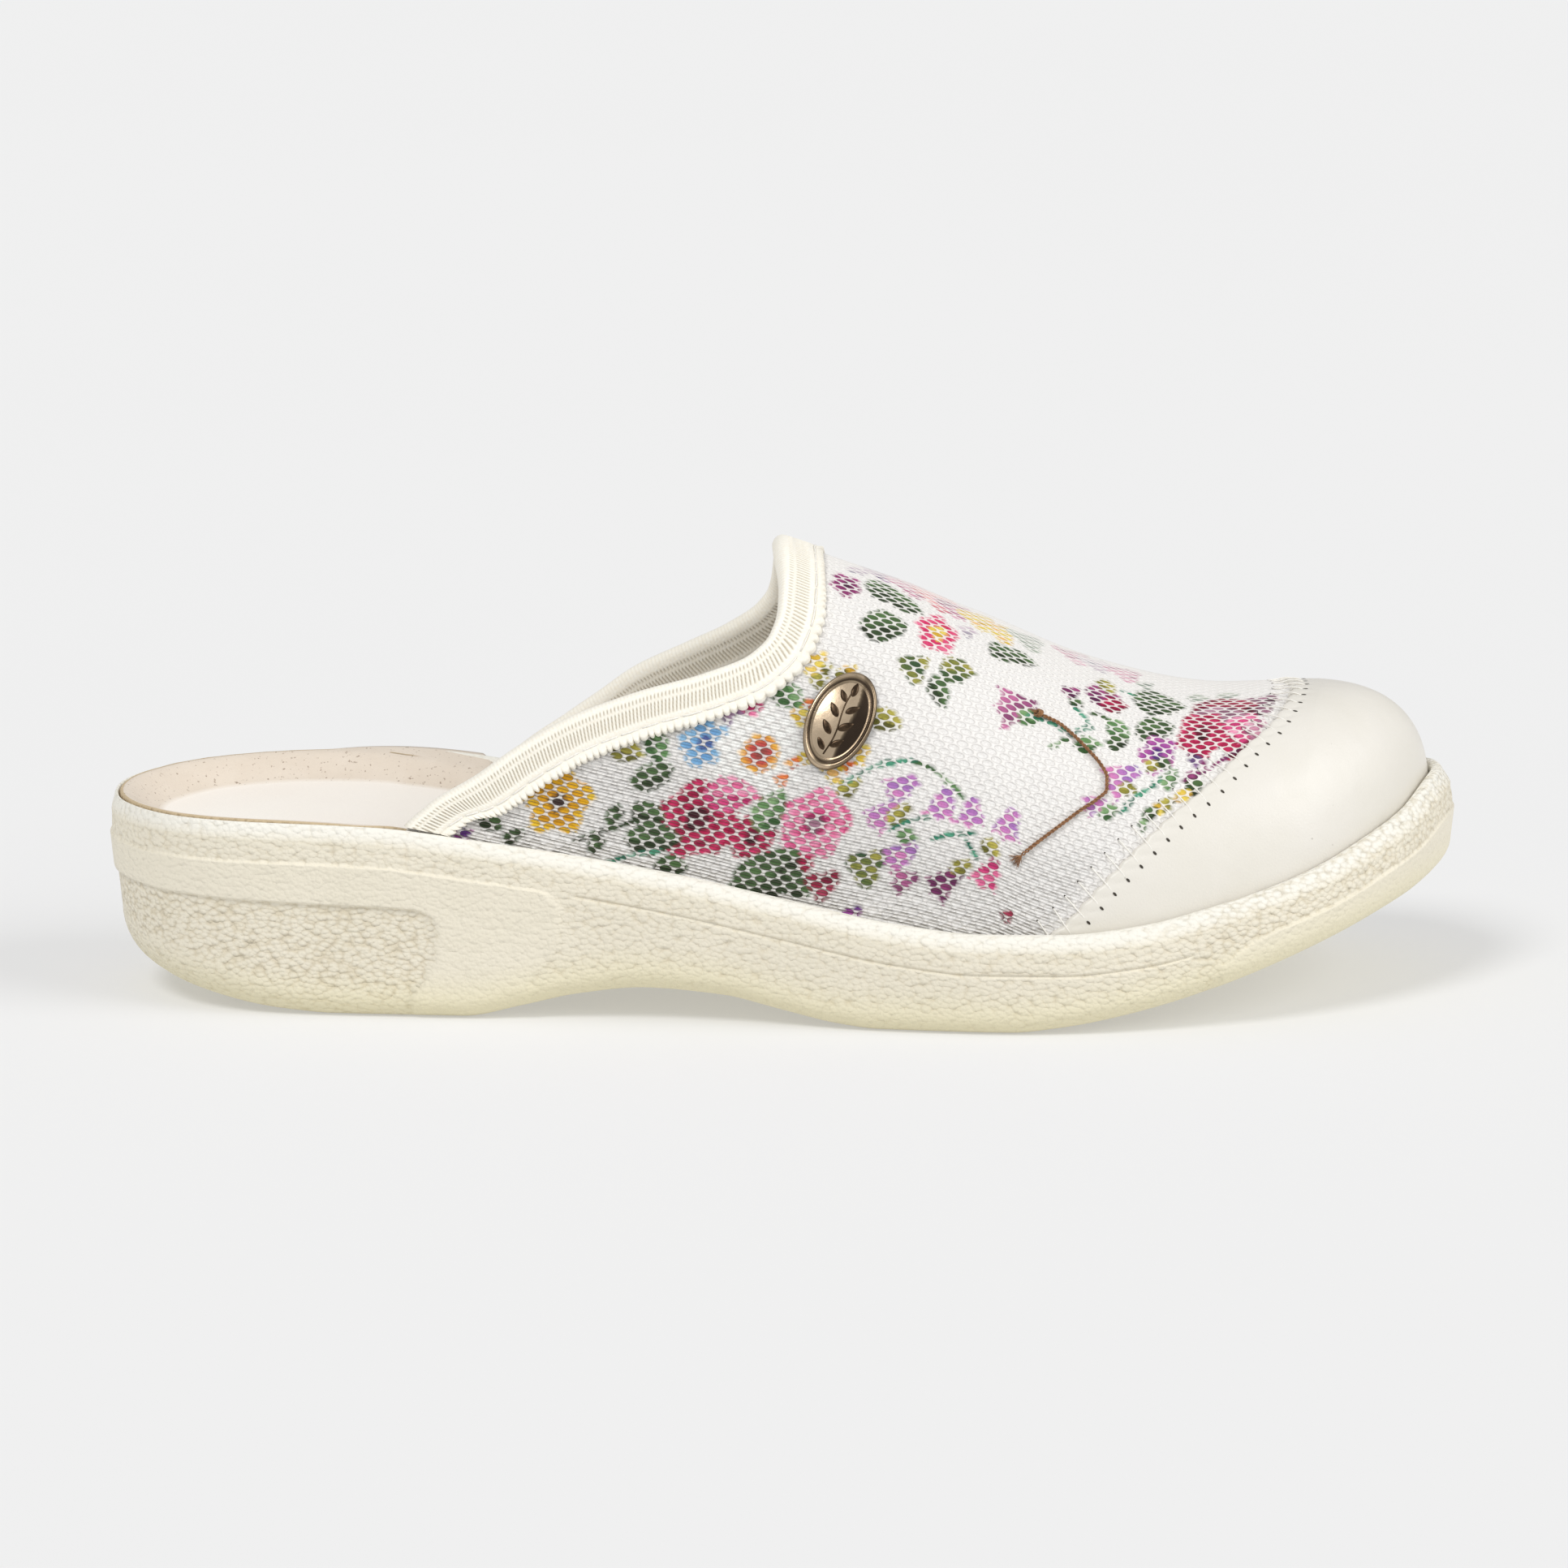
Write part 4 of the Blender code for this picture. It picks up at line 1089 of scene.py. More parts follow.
def insole_side(side, a, columns):
    """Rows of points from the footbed's edge inwards, and how steep each place is."""
    plan, inward = outline(side, a)
    share = share_of(plan[:, 0])
    width = RIM_WIDTH * rim_width_share(share)
    edge = insole_inset(share)
    ledge = np.maximum(SEAT_LEDGE * ledge_share(share), edge + LEAST_LEDGE)
    steps = np.linspace(0, 1, columns)[None, :]
    out = edge[:, None] + (ledge + CUP_RUN - edge)[:, None] * steps
    cup = CUP_DEPTH * cup_share(share)[:, None]
    down = cup * smooth(ledge[:, None], ledge[:, None] + CUP_RUN, out)
    proud = edge_rise(share)[:, None] * (1 - smooth(0, 0.5, steps))
    rounding = EDGE_ROUNDING * (1 - smooth(0, 0.06, steps))
    top = (seat_height(side, share) + CLEARANCE + INSOLE_THICKNESS)[:, None] - down + proud - rounding
    if side == MEDIAL:
        # The footbed laps over the inner rim between the heel and the collar.
        lap = smooth(0.12, 0.19, share) * (1 - smooth(0.272, 0.288, share))
        lap = lap[:, None] * (1 - smooth(0, 0.2, steps))
        out = out - (0.75 * width[:, None] + edge[:, None]) * lap
        lapped = (rim_height(side, share) + 0.6 * RIM_CROWN + LAP_HEIGHT)[:, None]
        top = top + (lapped - top) * lap
    points = plan[:, None] + inward[:, None] * (width[:, None] + out)[..., None]
    return np.concatenate([points, top[..., None]], -1), np.broadcast_to(1 - steps**2, out.shape)


def make_insole(surface, edge_surface):
    """The footbed's leather face, and its cut edge in the crack round it."""
    a = dense_stations(240)
    rim_columns, middle_columns = 22, 20
    lateral, wall = insole_side(LATERAL, a, rim_columns)
    medial, _ = insole_side(MEDIAL, a, rim_columns)
    shares = np.linspace(0, 1, middle_columns + 2)[1:-1][None, :, None]
    middle = lateral[:, -1:] * (1 - shares) + medial[:, -1:] * shares
    rows = np.concatenate([lateral, middle, medial[:, ::-1]], 1)
    walls = np.concatenate([wall, 0 * middle[..., 0], wall[:, ::-1]], 1)
    made = make_sheet("footbed", rows, [surface], UNDER_SHOE, FOOTBED_WALL, wall=walls.ravel())
    add_to_shoe(made, "insole", "insole")

    sides = []
    for side, order in ((LATERAL, slice(None)), (MEDIAL, slice(-2, 0, -1))):
        plan, inward = outline(side, a)
        share = share_of(plan[:, 0])
        base = seat_height(side, share) + 0.5 * CLEARANCE
        inset = RIM_WIDTH * rim_width_share(share) + insole_inset(share)
        rise = INSOLE_THICKNESS + CLEARANCE + edge_rise(share)
        sides.append([part[order] for part in (plan, inward, base, inset, rise)])
    plan, inward, base, inset, rise = (np.concatenate(parts) for parts in zip(*sides))
    count = len(plan)
    bumps = np.random.default_rng(5).normal(0, CRACK_WOBBLE, count // 2 + 1)
    wobble = np.interp(np.arange(count), np.arange(0, count + 2, 2), bumps)
    rows = []
    for out, height in EDGE_PROFILE:
        at = plan + inward * (inset + out * MM + wobble)[:, None]
        rows.append(np.concatenate([at, (base + rise * height)[:, None]], 1))
    faces = grid_faces(len(rows), count, closed=True)
    edge = make_object("footbed_edge", np.array(rows), faces, [edge_surface])
    # Height up the cut edge, which sets its painted shade.
    paint(edge, "height", np.repeat([height for _, height in EDGE_PROFILE], count))
    add_to_shoe(edge, "insole")


# Lattice of the net


ROW_SLOPE = math.radians(20.0)
CELL_PITCH = 2.85 * MM
ROW_PITCH = 1.2 * MM
TABLE_STATIONS = np.linspace(3.0, LAST_STATION - 1.0, 260)
TABLE_ANGLES = np.linspace(-94.0, 94.0, 377)
RIDGE_COLUMN = len(TABLE_ANGLES) // 2


def lattice_tables():
    """Distances along and across the net's rows over stations and angles."""
    points = vamp_point(TABLE_STATIONS[:, None], TABLE_ANGLES[None, :])
    steps = np.diff(points, axis=1) * (1, 1, math.cos(ROW_SLOPE))
    across = np.cumsum(np.linalg.norm(steps, axis=2), axis=1)
    across = np.concatenate([np.zeros((len(points), 1)), across], 1)
    across -= across[:, RIDGE_COLUMN, None]
    ridge = points[:, RIDGE_COLUMN]
    drop = ridge[:, None, 2] - points[..., 2]
    return run_along(ridge)[:, None] + math.sin(ROW_SLOPE) * drop, across


ALONG_TABLE, ACROSS_TABLE = lattice_tables()


def look_up(table, a, angle):
    """Values between those of a table over stations and angles."""
    cells = []
    for value, marks in ((a, TABLE_STATIONS), (angle, TABLE_ANGLES)):
        at = np.clip((value - marks[0]) / (marks[1] - marks[0]), 0, len(marks) - 1.001)
        cells.append((at.astype(int), at - at.astype(int)))
    (i, s), (j, t) = cells
    return (
        table[i, j] * (1 - s) * (1 - t)
        + table[i + 1, j] * s * (1 - t)
        + table[i, j + 1] * (1 - s) * t
        + table[i + 1, j + 1] * s * t
    )


def table_slopes(table, a, angle):
    """How fast a table's values change with the station and with the angle."""
    da, dt = 0.03, 0.3
    by_station = (look_up(table, a + da, angle) - look_up(table, a - da, angle)) / (2 * da)
    by_angle = (look_up(table, a, angle + dt) - look_up(table, a, angle - dt)) / (2 * dt)
    return by_station, by_angle


def place_on_net(along, across):
    """Station and angle of places given by their distances in the lattice."""
    a = np.interp(along, ALONG_TABLE[:, RIDGE_COLUMN], TABLE_STATIONS)
    angle = np.interp(across, ACROSS_TABLE[len(TABLE_STATIONS) // 2], TABLE_ANGLES)
    for _ in range(14):
        miss_u = look_up(ALONG_TABLE, a, angle) - along
        miss_v = look_up(ACROSS_TABLE, a, angle) - across
        ua, ut = table_slopes(ALONG_TABLE, a, angle)
        va, vt = table_slopes(ACROSS_TABLE, a, angle)
        det = ua * vt - ut * va
        det = np.where(np.abs(det) < 1e-12, 1e-12, det)
        a = a - 0.9 * (miss_u * vt - miss_v * ut) / det
        angle = angle - 0.9 * (miss_v * ua - miss_u * va) / det
        a = np.clip(a, TABLE_STATIONS[0], TABLE_STATIONS[-1])
        angle = np.clip(angle, TABLE_ANGLES[0], TABLE_ANGLES[-1])
    return a, angle


def side_view(points):
    """Where points lie in the photograph: column and row of its 1932 pixels."""
    rel = points - CAMERA_AIM
    size = CAMERA_DISTANCE / (CAMERA_DISTANCE - rel @ TO_CAMERA)
    pixels = PHOTO_SCALE / MM
    middle = PHOTO_HEEL + pixels * (CAMERA_AIM[0] + ORIGIN_SHARE * SOLE_LENGTH)
    level = PHOTO_FLOOR - pixels * math.cos(RISE) * CAMERA_AIM_HEIGHT
    return middle + pixels * (rel[..., 0] * size), level - pixels * ((rel @ CAMERA_UP) * size)


# Print on the vamp


PALETTES = {
    "crimson": ("3A1620", "86163A", "B01E4A", "D23A6B"),
    "crimson_gold": ("F2BE2A", "C0204E", "D63A6C", "E87A9A"),
    "wine": ("3A1E24", "6E1A34", "96203F", "B8506A"),
    "pink": ("A8285E", "D6447E", "EA7EA8", "F4B6CC"),
    "plum": ("4A2240", "6A2A58", "8E3A6E", "B45E92"),
    "purple": ("3C2A6E", "743C86", "A44E9C", "D27EB8"),
    "pink_violet": ("8A6AB0", "B878BC", "DA84BA", "F0A8CC"),
    "berry": ("6A3A5A", "98507C", "C06A9A", "DA94B4"),
    "violet": ("4A3A62", "7A5A8A", "A884A8", "CDB6CC"),
    "gold": ("3A2A28", "B4760E", "DCA21C", "EFC93A"),
    "yellow": ("C8962A", "DDBC44", "E8D264", "EDB274"),
    "orange": ("B84A20", "E06A34", "F0965A", "F5C07A"),
    "blue": ("4A4C88", "5688C0", "7CB0DA", "A2CAE6"),
    "daisy": ("8A4A44", "C84A4A", "F0B440", "FCFCF8"),
    "dark_leaf": ("26301E", "33452A", "46603A", "5A7A4A"),
    "leaf": ("33502E", "4C7444", "6C955F", "93B283"),
    "leaf_mix": ("2E4A34", "4A6238", "7A7E3C", "B0A850"),
    "olive": ("4E4E24", "7A7632", "A09A44", "C6B958"),
    "teal": ("1F5A48", "2F7A60", "4E9A7C", "7CB89C"),
    "pale": ("8E929C", "B0A4B2", "CFBFCA", "E0D6DA"),
    "rosy": ("8A5A72", "B87894", "D69AB0", "E8C4D0"),
    "coral": ("C06A7A", "DC8C94", "ECA8A8", "F2C6C0"),
    "sage": ("7E8A80", "9AA598", "B4BCAE", "D4D8CC"),
    "mauve": ("4E3A46", "7A5668", "9C6E84", "C49AAC"),
}

# Motifs: kind, column and row in the photograph's side view, radius or half length in
# millimetres, turn in degrees, palette.
MOTIFS = (
    ("dots", 571, 1028, 2.0, 0, "purple"),
    ("leaf", 606, 1012, 2.6, -30, "dark_leaf"),
    ("leaf", 632, 1030, 2.2, 20, "dark_leaf"),
    ("petals", 690, 987, 6.6, 10, "gold"),
    ("leaf", 770, 924, 3.2, -20, "olive"),
    ("leaf", 811, 920, 3.2, -80, "leaf"),
    ("leaf", 806, 957, 4.0, 15, "dark_leaf"),
    ("petals", 869, 913, 5.0, 20, "blue"),
    ("dots", 905, 885, 2.6, 0, "violet"),
    ("dots", 928, 876, 2.4, 0, "pink"),
    ("leaf", 966, 858, 2.8, -60, "leaf"),
    ("dots", 984, 883, 1.8, 0, "yellow"),
    ("dots", 973, 891, 1.4, 0, "orange"),
    ("daisy", 936, 930, 8.6, 0, "daisy"),
    ("rose", 925, 1030, 4.6, 60, "crimson"),
    ("rose", 860, 1008, 7.6, 0, "crimson"),
    ("leaf", 902, 978, 5.0, -8, "pink"),
    ("rose", 979, 1058, 3.6, 90, "crimson"),
    ("rose", 1005, 1012, 6.8, 200, "pink"),
    ("dots", 1004, 1016, 1.9, 0, "mauve"),
    ("leaf", 947, 997, 4.4, 55, "leaf"),
    ("leaf", 798, 1001, 3.4, -25, "dark_leaf"),
    ("leaf", 806, 1033, 5.0, -8, "dark_leaf"),
    ("leaf", 758, 1002, 2.4, 60, "dark_leaf"),
    ("leaf", 735, 1037, 2.2, 70, "dark_leaf"),
    ("stem", 757, 1021, 7.4, 12, "dark_leaf"),
    ("stem", 770, 1057, 6.2, 10, "teal"),
    ("leaf", 829, 1066, 3.2, -15, "dark_leaf"),
    ("leaf", 944, 1079, 7.2, 35, "dark_leaf"),
    ("leaf", 980, 1087, 3.6, -50, "dark_leaf"),
    ("dots", 1014, 1088, 3.4, 0, "wine"),
    ("dots", 1050, 1126, 2.0, 0, "purple"),
    ("leaf", 1048, 966, 2.6, 20, "olive"),
    ("leaf", 1090, 886, 3.2, -30, "olive"),
    ("dots", 1008, 812, 2.0, 0, "yellow"),
    ("dots", 1000, 826, 1.8, 0, "yellow"),
    ("dots", 1017, 824, 1.4, 0, "olive"),
    ("dots", 1008, 840, 1.9, 0, "olive"),
    ("dots", 1050, 826, 1.8, 0, "yellow"),
    ("dots", 1034, 832, 1.4, 0, "olive"),
    ("leaf", 976, 858, 2.8, -70, "leaf"),
    ("dots", 998, 864, 1.3, 0, "orange"),
    ("dots", 985, 880, 2.0, 0, "yellow"),
    ("dots", 994, 932, 1.8, 0, "yellow"),
    ("dots", 975, 938, 1.4, 0, "orange"),
    ("dots", 1060, 926, 2.2, 0, "yellow"),
    ("dots", 1028, 948, 2.6, 0, "yellow"),
    ("dots", 1044, 942, 1.4, 0, "orange"),
    ("dots", 962, 960, 1.6, 0, "orange"),
    ("stem", 1068, 949, 4.6, 20, "teal"),
    ("stem", 1108, 938, 3.6, -2, "teal"),
    ("stem", 1140, 944, 2.8, -28, "leaf"),
    ("stem", 1172, 968, 3.6, -48, "leaf"),
    ("bell", 1111, 967, 3.5, 200, "pink_violet"),
    ("bell", 1088, 1001, 3.6, 215, "pink_violet"),
    ("bell", 1160, 988, 3.5, 250, "pink_violet"),
    ("bell", 1197, 998, 3.2, 260, "pink_violet"),
    ("leaf", 1110, 1000, 2.6, 40, "olive"),
    ("stem", 1122, 1012, 3.8, 12, "teal"),
    ("leaf", 1116, 1030, 2.0, -20, "leaf"),
    ("stem", 1174, 1030, 4.4, 2, "teal"),
    ("stem", 1196, 1044, 2.4, -60, "teal"),
    ("dots", 1067, 1067, 4.2, 0, "leaf_mix"),
    ("bell", 1108, 1053, 3.5, 205, "pink_violet"),
    ("bell", 1115, 1084, 3.0, 190, "berry"),
    ("bell", 1163, 1084, 3.7, 215, "plum"),
    ("leaf", 1183, 1066, 2.2, 30, "olive"),
    ("leaf", 1220, 1044, 2.4, -60, "olive"),
    ("bell", 1218, 1074, 3.5, 235, "pink"),
    ("bell", 1242, 1015, 3.5, 250, "pink_violet"),
    ("dots", 1240, 1128, 1.6, 0, "wine"),
    ("petals", 1044, 721, 3.3, 40, "plum"),
    ("leaf", 1058, 704, 2.6, 10, "pale"),
    ("leaf", 1092, 728, 4.4, -30, "dark_leaf"),
    ("leaf", 1116, 744, 3.6, -35, "dark_leaf"),
    ("leaf", 1089, 769, 4.6, -8, "dark_leaf"),
    ("dots", 1086, 708, 4.4, 0, "violet"),
    ("dots", 1120, 722, 5.0, 0, "rosy"),
    ("dots", 1152, 737, 5.4, 0, "coral"),
    ("dots", 1176, 749, 4.4, 0, "rosy"),
    ("petals", 1156, 778, 4.5, 0, "crimson_gold"),
    ("dots", 1191, 777, 2.0, 0, "pale"),
    ("dots", 1126, 819, 3.3, 0, "leaf_mix"),
    ("leaf", 1179, 824, 3.6, -10, "leaf_mix"),
    ("leaf", 1158, 850, 3.2, -75, "dark_leaf"),
    ("dots", 1156, 778, 2.1, 0, "yellow"),
    ("dots", 1204, 763, 4.6, 0, "yellow"),
    ("dots", 1232, 776, 4.6, 0, "yellow"),
    ("dots", 1266, 788, 4.6, 0, "sage"),
    ("leaf", 1236, 803, 3.4, -14, "dark_leaf"),
    ("leaf", 1260, 811, 3.0, -20, "dark_leaf"),
    ("dots", 1322, 807, 4.6, 0, "rosy"),
    ("dots", 1350, 818, 4.0, 0, "pale"),
    ("dots", 1386, 830, 4.4, 0, "rosy"),
    ("dots", 1412, 844, 2.2, 0, "sage"),
    ("bell", 1252, 869, 4.6, 180, "berry"),
    ("leaf", 1268, 884, 2.4, -15, "leaf"),
    ("stem", 1290, 891, 4.4, -22, "teal"),
    ("dots", 1321, 853, 2.2, 0, "plum"),
    ("leaf", 1326, 865, 1.6, 0, "dark_leaf"),
    ("leaf", 1362, 859, 4.2, -42, "plum"),
    ("leaf", 1374, 868, 2.8, -10, "crimson"),
    ("leaf", 1364, 846, 2.6, -70, "olive"),
    ("stem", 1392, 856, 2.4, -40, "teal"),
    ("stem", 1331, 883, 2.6, -52, "teal"),
    ("stem", 1334, 900, 2.4, 10, "teal"),
    ("stem", 1362, 886, 3.0, -34, "dark_leaf"),
    ("leaf", 1378, 898, 2.8, -34, "leaf"),
    ("leaf", 1340, 916, 2.6, -4, "leaf"),
    ("stem", 1306, 917, 2.2, 20, "leaf"),
    ("leaf", 1379, 912, 2.4, 10, "dark_leaf"),
    ("leaf", 1426, 866, 5.4, -18, "dark_leaf"),
    ("leaf", 1424, 897, 4.0, -2, "dark_leaf"),
    ("petals", 1426, 927, 4.0, 30, "purple"),
    ("leaf", 1420, 942, 1.8, -10, "olive"),
    ("leaf", 1436, 938, 1.6, -40, "dark_leaf"),
    ("leaf", 1477, 859, 2.2, -5, "sage"),
    ("leaf", 1512, 856, 2.4, -5, "sage"),
    ("dots", 1556, 866, 4.0, 0, "mauve"),
    ("dots", 1536, 868, 3.4, 0, "mauve"),
    ("leaf", 1508, 877, 7.0, -2, "wine"),
    ("leaf", 1500, 884, 5.4, -8, "mauve"),
    ("dots", 1523, 916, 3.8, 0, "crimson"),
    ("dots", 1530, 892, 3.8, 0, "pink"),
    ("dots", 1545, 896, 2.6, 0, "rosy"),
    ("rose", 1480, 903, 5.2, 30, "crimson"),
    ("stem", 1478, 938, 2.8, -50, "plum"),
    ("stem", 1512, 935, 3.4, 20, "plum"),
    ("leaf", 1470, 957, 1.9, 10, "plum"),
    ("dots", 1474, 936, 1.5, 0, "violet"),
    ("bell", 1382, 958, 4.2, 200, "pink_violet"),
    ("leaf", 1388, 972, 2.0, -15, "olive"),
    ("bell", 1350, 990, 2.6, 190, "pink_violet"),
    ("leaf", 1366, 998, 2.2, 10, "leaf"),
    ("stem", 1396, 987, 3.2, 38, "teal"),
    ("stem", 1422, 968, 3.2, 32, "teal"),
    ("leaf", 1444, 958, 2.4, 50, "leaf"),
    ("leaf", 1472, 969, 2.2, 5, "dark_leaf"),
    ("leaf", 1456, 978, 2.0, 10, "yellow"),
    ("leaf", 1437, 989, 2.0, 30, "olive"),
    ("dots", 1428, 996, 1.3, 0, "yellow"),
    ("leaf", 1417, 1004, 2.0, 40, "dark_leaf"),
    ("dots", 1409, 1016, 1.2, 0, "leaf"),
)


def tones_at(palette, place):
    """Colours between a palette's four tones, at places from 0 to 3."""
    tones = np.array([tone(code) for code in PALETTES[palette]])
    place = np.clip(place, 0, 2.999)
    i = place.astype(int)
    s = (place - i)[:, None]
    return tones[i] * (1 - s) + tones[i + 1] * s


def draw_rose(x, y, patch):
    r, turn = np.hypot(x, y), np.arctan2(y, x)
    swirl = (turn / (2 * math.pi) * 2 + r * 2.7) % 1
    place = np.where(r < 0.3, 0.2, 0.9 + 1.6 * swirl + 0.5 * r) + 0.9 * (patch - 0.5)
    return r < 0.93 + 0.08 * np.sin(5 * turn), place


def draw_petals(x, y, patch):
    r, turn = np.hypot(x, y), np.arctan2(y, x)
    edge = 0.72 + 0.28 * np.abs(np.cos(2.5 * turn))
    place = np.where(r < 0.27, 0.0, 1.2 + 1.4 * r) + 0.9 * (patch - 0.5)
    return r < edge, place


def draw_daisy(x, y, patch):
    r, turn = np.hypot(x, y), np.arctan2(y, x)
    core = 0.1 + r / 0.44 * 2.0 + 0.8 * (patch - 0.5)
    return r < 0.92 + 0.08 * np.cos(9 * turn), np.where(r < 0.42, core, 2.999)


def draw_leaf(x, y, patch):
    width = 0.60 * np.clip(1 - x**2, 0, 1) ** 0.7 * (1.1 - 0.3 * x)
    place = 0.9 + 1.1 * (y > 0) + 1.6 * (patch - 0.5)
    return np.abs(y) < width, np.where(np.abs(y) < 0.04, 2.4, place)


def draw_bell(x, y, patch):
    width = 0.30 + 0.55 * smooth(-1.0, 0.9, x)
    mouth = 0.95 - 0.3 * np.abs(np.sin(3.2 * y))
    place = 0.5 + 1.3 * (x + 1) / 2 + 1.6 * (patch - 0.5)
    return (np.abs(y) < width) & (x < mouth) & (x > -0.9), place


def draw_stem(x, y, patch):
    bend = 0.10 * (1 - x**2)
    return (np.abs(y - bend) < 0.11) & (np.abs(x) < 1), 1.2 + 2.0 * (patch - 0.5)


def draw_dots(x, y, patch):
    r, turn = np.hypot(x, y), np.arctan2(y, x)
    return r < 0.8 + 0.2 * np.sin(3 * turn), 1.5 + 2.6 * (patch - 0.5)


DRAWERS = {
    "rose": draw_rose,
    "petals": draw_petals,
    "daisy": draw_daisy,
    "leaf": draw_leaf,
    "bell": draw_bell,
    "stem": draw_stem,
    "dots": draw_dots,
}
STEM_WIDTH = 4.0 * MM
# Motifs lower than this from the ridge are repeated on the medial side.
MEDIAL_START = 14 * MM
BARE_CLOTH = "EDEBE8"


def placed_motifs(net_places, picture, facing):
    """Motifs in the lattice's own distances: the lateral ones stand where the side view
    has them, longer across where the cloth slants away from it, and the medial side
    repeats them in the opposite order."""
    columns, rows = picture
    lateral = []
    for kind, at_column, at_row, size, turn, palette in MOTIFS:
        nearest = np.argmin((columns - at_column) ** 2 + (rows - at_row) ** 2)
        turn += math.degrees(ROW_SLOPE)
        reach = 1 / max(facing[nearest], 0.7)
        lateral.append((kind, *net_places[nearest], LATERAL, size * MM, reach, turn, palette))
    alongs = [motif[1] for motif in lateral]
    ends = min(alongs) + max(alongs)
    medial = [
        (kind, ends - along, -across, MEDIAL, size, reach, 180 - turn, palette)
        for kind, along, across, _, size, reach, turn, palette in lateral
        if across < -MEDIAL_START
    ]
    return lateral + medial


def paint_print(net_places, patches, motifs):
    """Colours of places in the lattice under all the motifs, the later ones on top."""
    colours = np.tile(tone(BARE_CLOTH), (len(net_places), 1))
    for kind, along, across, side, size, reach, turn, palette in motifs:
        x, y = (net_places - (along, across)).T
        y = y / reach
        near = (np.abs(x) < 1.2 * size) & (np.abs(y) < 1.2 * size)
        if not near.any():
            continue
        x, y, patch = x[near] / size, -side * y[near] / size, patches[near]
        cos, sin = math.cos(math.radians(turn)), math.sin(math.radians(turn))
        x, y = x * cos + y * sin, y * cos - x * sin
        if kind == "stem":
            y = y * size / STEM_WIDTH
        inside, place = DRAWERS[kind](x, y, patch)
        chosen = np.flatnonzero(near)[inside]
        colours[chosen] = tones_at(palette, place[inside])
    return colours


CELL_ZIGZAG = 0.17
WINDOW_HALF_LENGTH = 0.405
WINDOW_HALF_HEIGHT = 0.53
THREAD_TOP = 0.10 * MM
WINDOW_TOP = -0.05 * MM
PRINT_TOP = -0.09 * MM
NET_WELD = 0.03 * MM
CLOTH_TOP = -0.25 * MM
TOE_END = LAST_STATION - 1e-6
UNSEEN = 1e6


def cell_shape():
    """One cell's points from its centre: twelve on its zigzag border, twelve round its
    window and the window's middle."""
    low, high = 0.5 - CELL_ZIGZAG, 0.5 + CELL_ZIGZAG
    corners = np.array([(-0.5, -low), (0, -high), (0.5, -low), (0.5, low), (0, high), (-0.5, low)])
    border = np.empty((12, 2))
    border[0::2] = corners
    border[1::2] = (corners + np.roll(corners, -1, axis=0)) / 2
    turns = np.arctan2(border[:, 1], border[:, 0])
    window = np.stack([WINDOW_HALF_LENGTH * np.cos(turns), WINDOW_HALF_HEIGHT * np.sin(turns)], 1)
    return np.concatenate([border, window, [(0.0, 0.0)]]) * (CELL_PITCH, ROW_PITCH)


def cell_centres():
    """Centres in the lattice of the net's cells between the collar and the cap."""
    last_row = int(np.abs(ACROSS_TABLE).max() / ROW_PITCH)
    row = np.arange(-last_row - 1, last_row + 2)
    cell = np.arange(-2, int(ALONG_TABLE.max() / CELL_PITCH) + 3)
    row, cell = (part.ravel() for part in np.meshgrid(row, cell, indexing="ij"))
    centre = np.stack([(cell + 0.5 * (row % 2)) * CELL_PITCH, row * ROW_PITCH], 1)
    a, angle = place_on_net(*centre.T)
    share = share_at(a)
    reached = np.stack([look_up(table, a, angle) for table in (ALONG_TABLE, ACROSS_TABLE)], 1)
    kept = (
        (share > collar_share(angle) + 0.006)
        & (share < cap_edge(np.abs(angle)) + 0.010)
        & (np.abs(angle) < 89.5)
        & (np.abs(reached - centre) < 0.1 * MM).all(1)
    )
    return centre[kept]


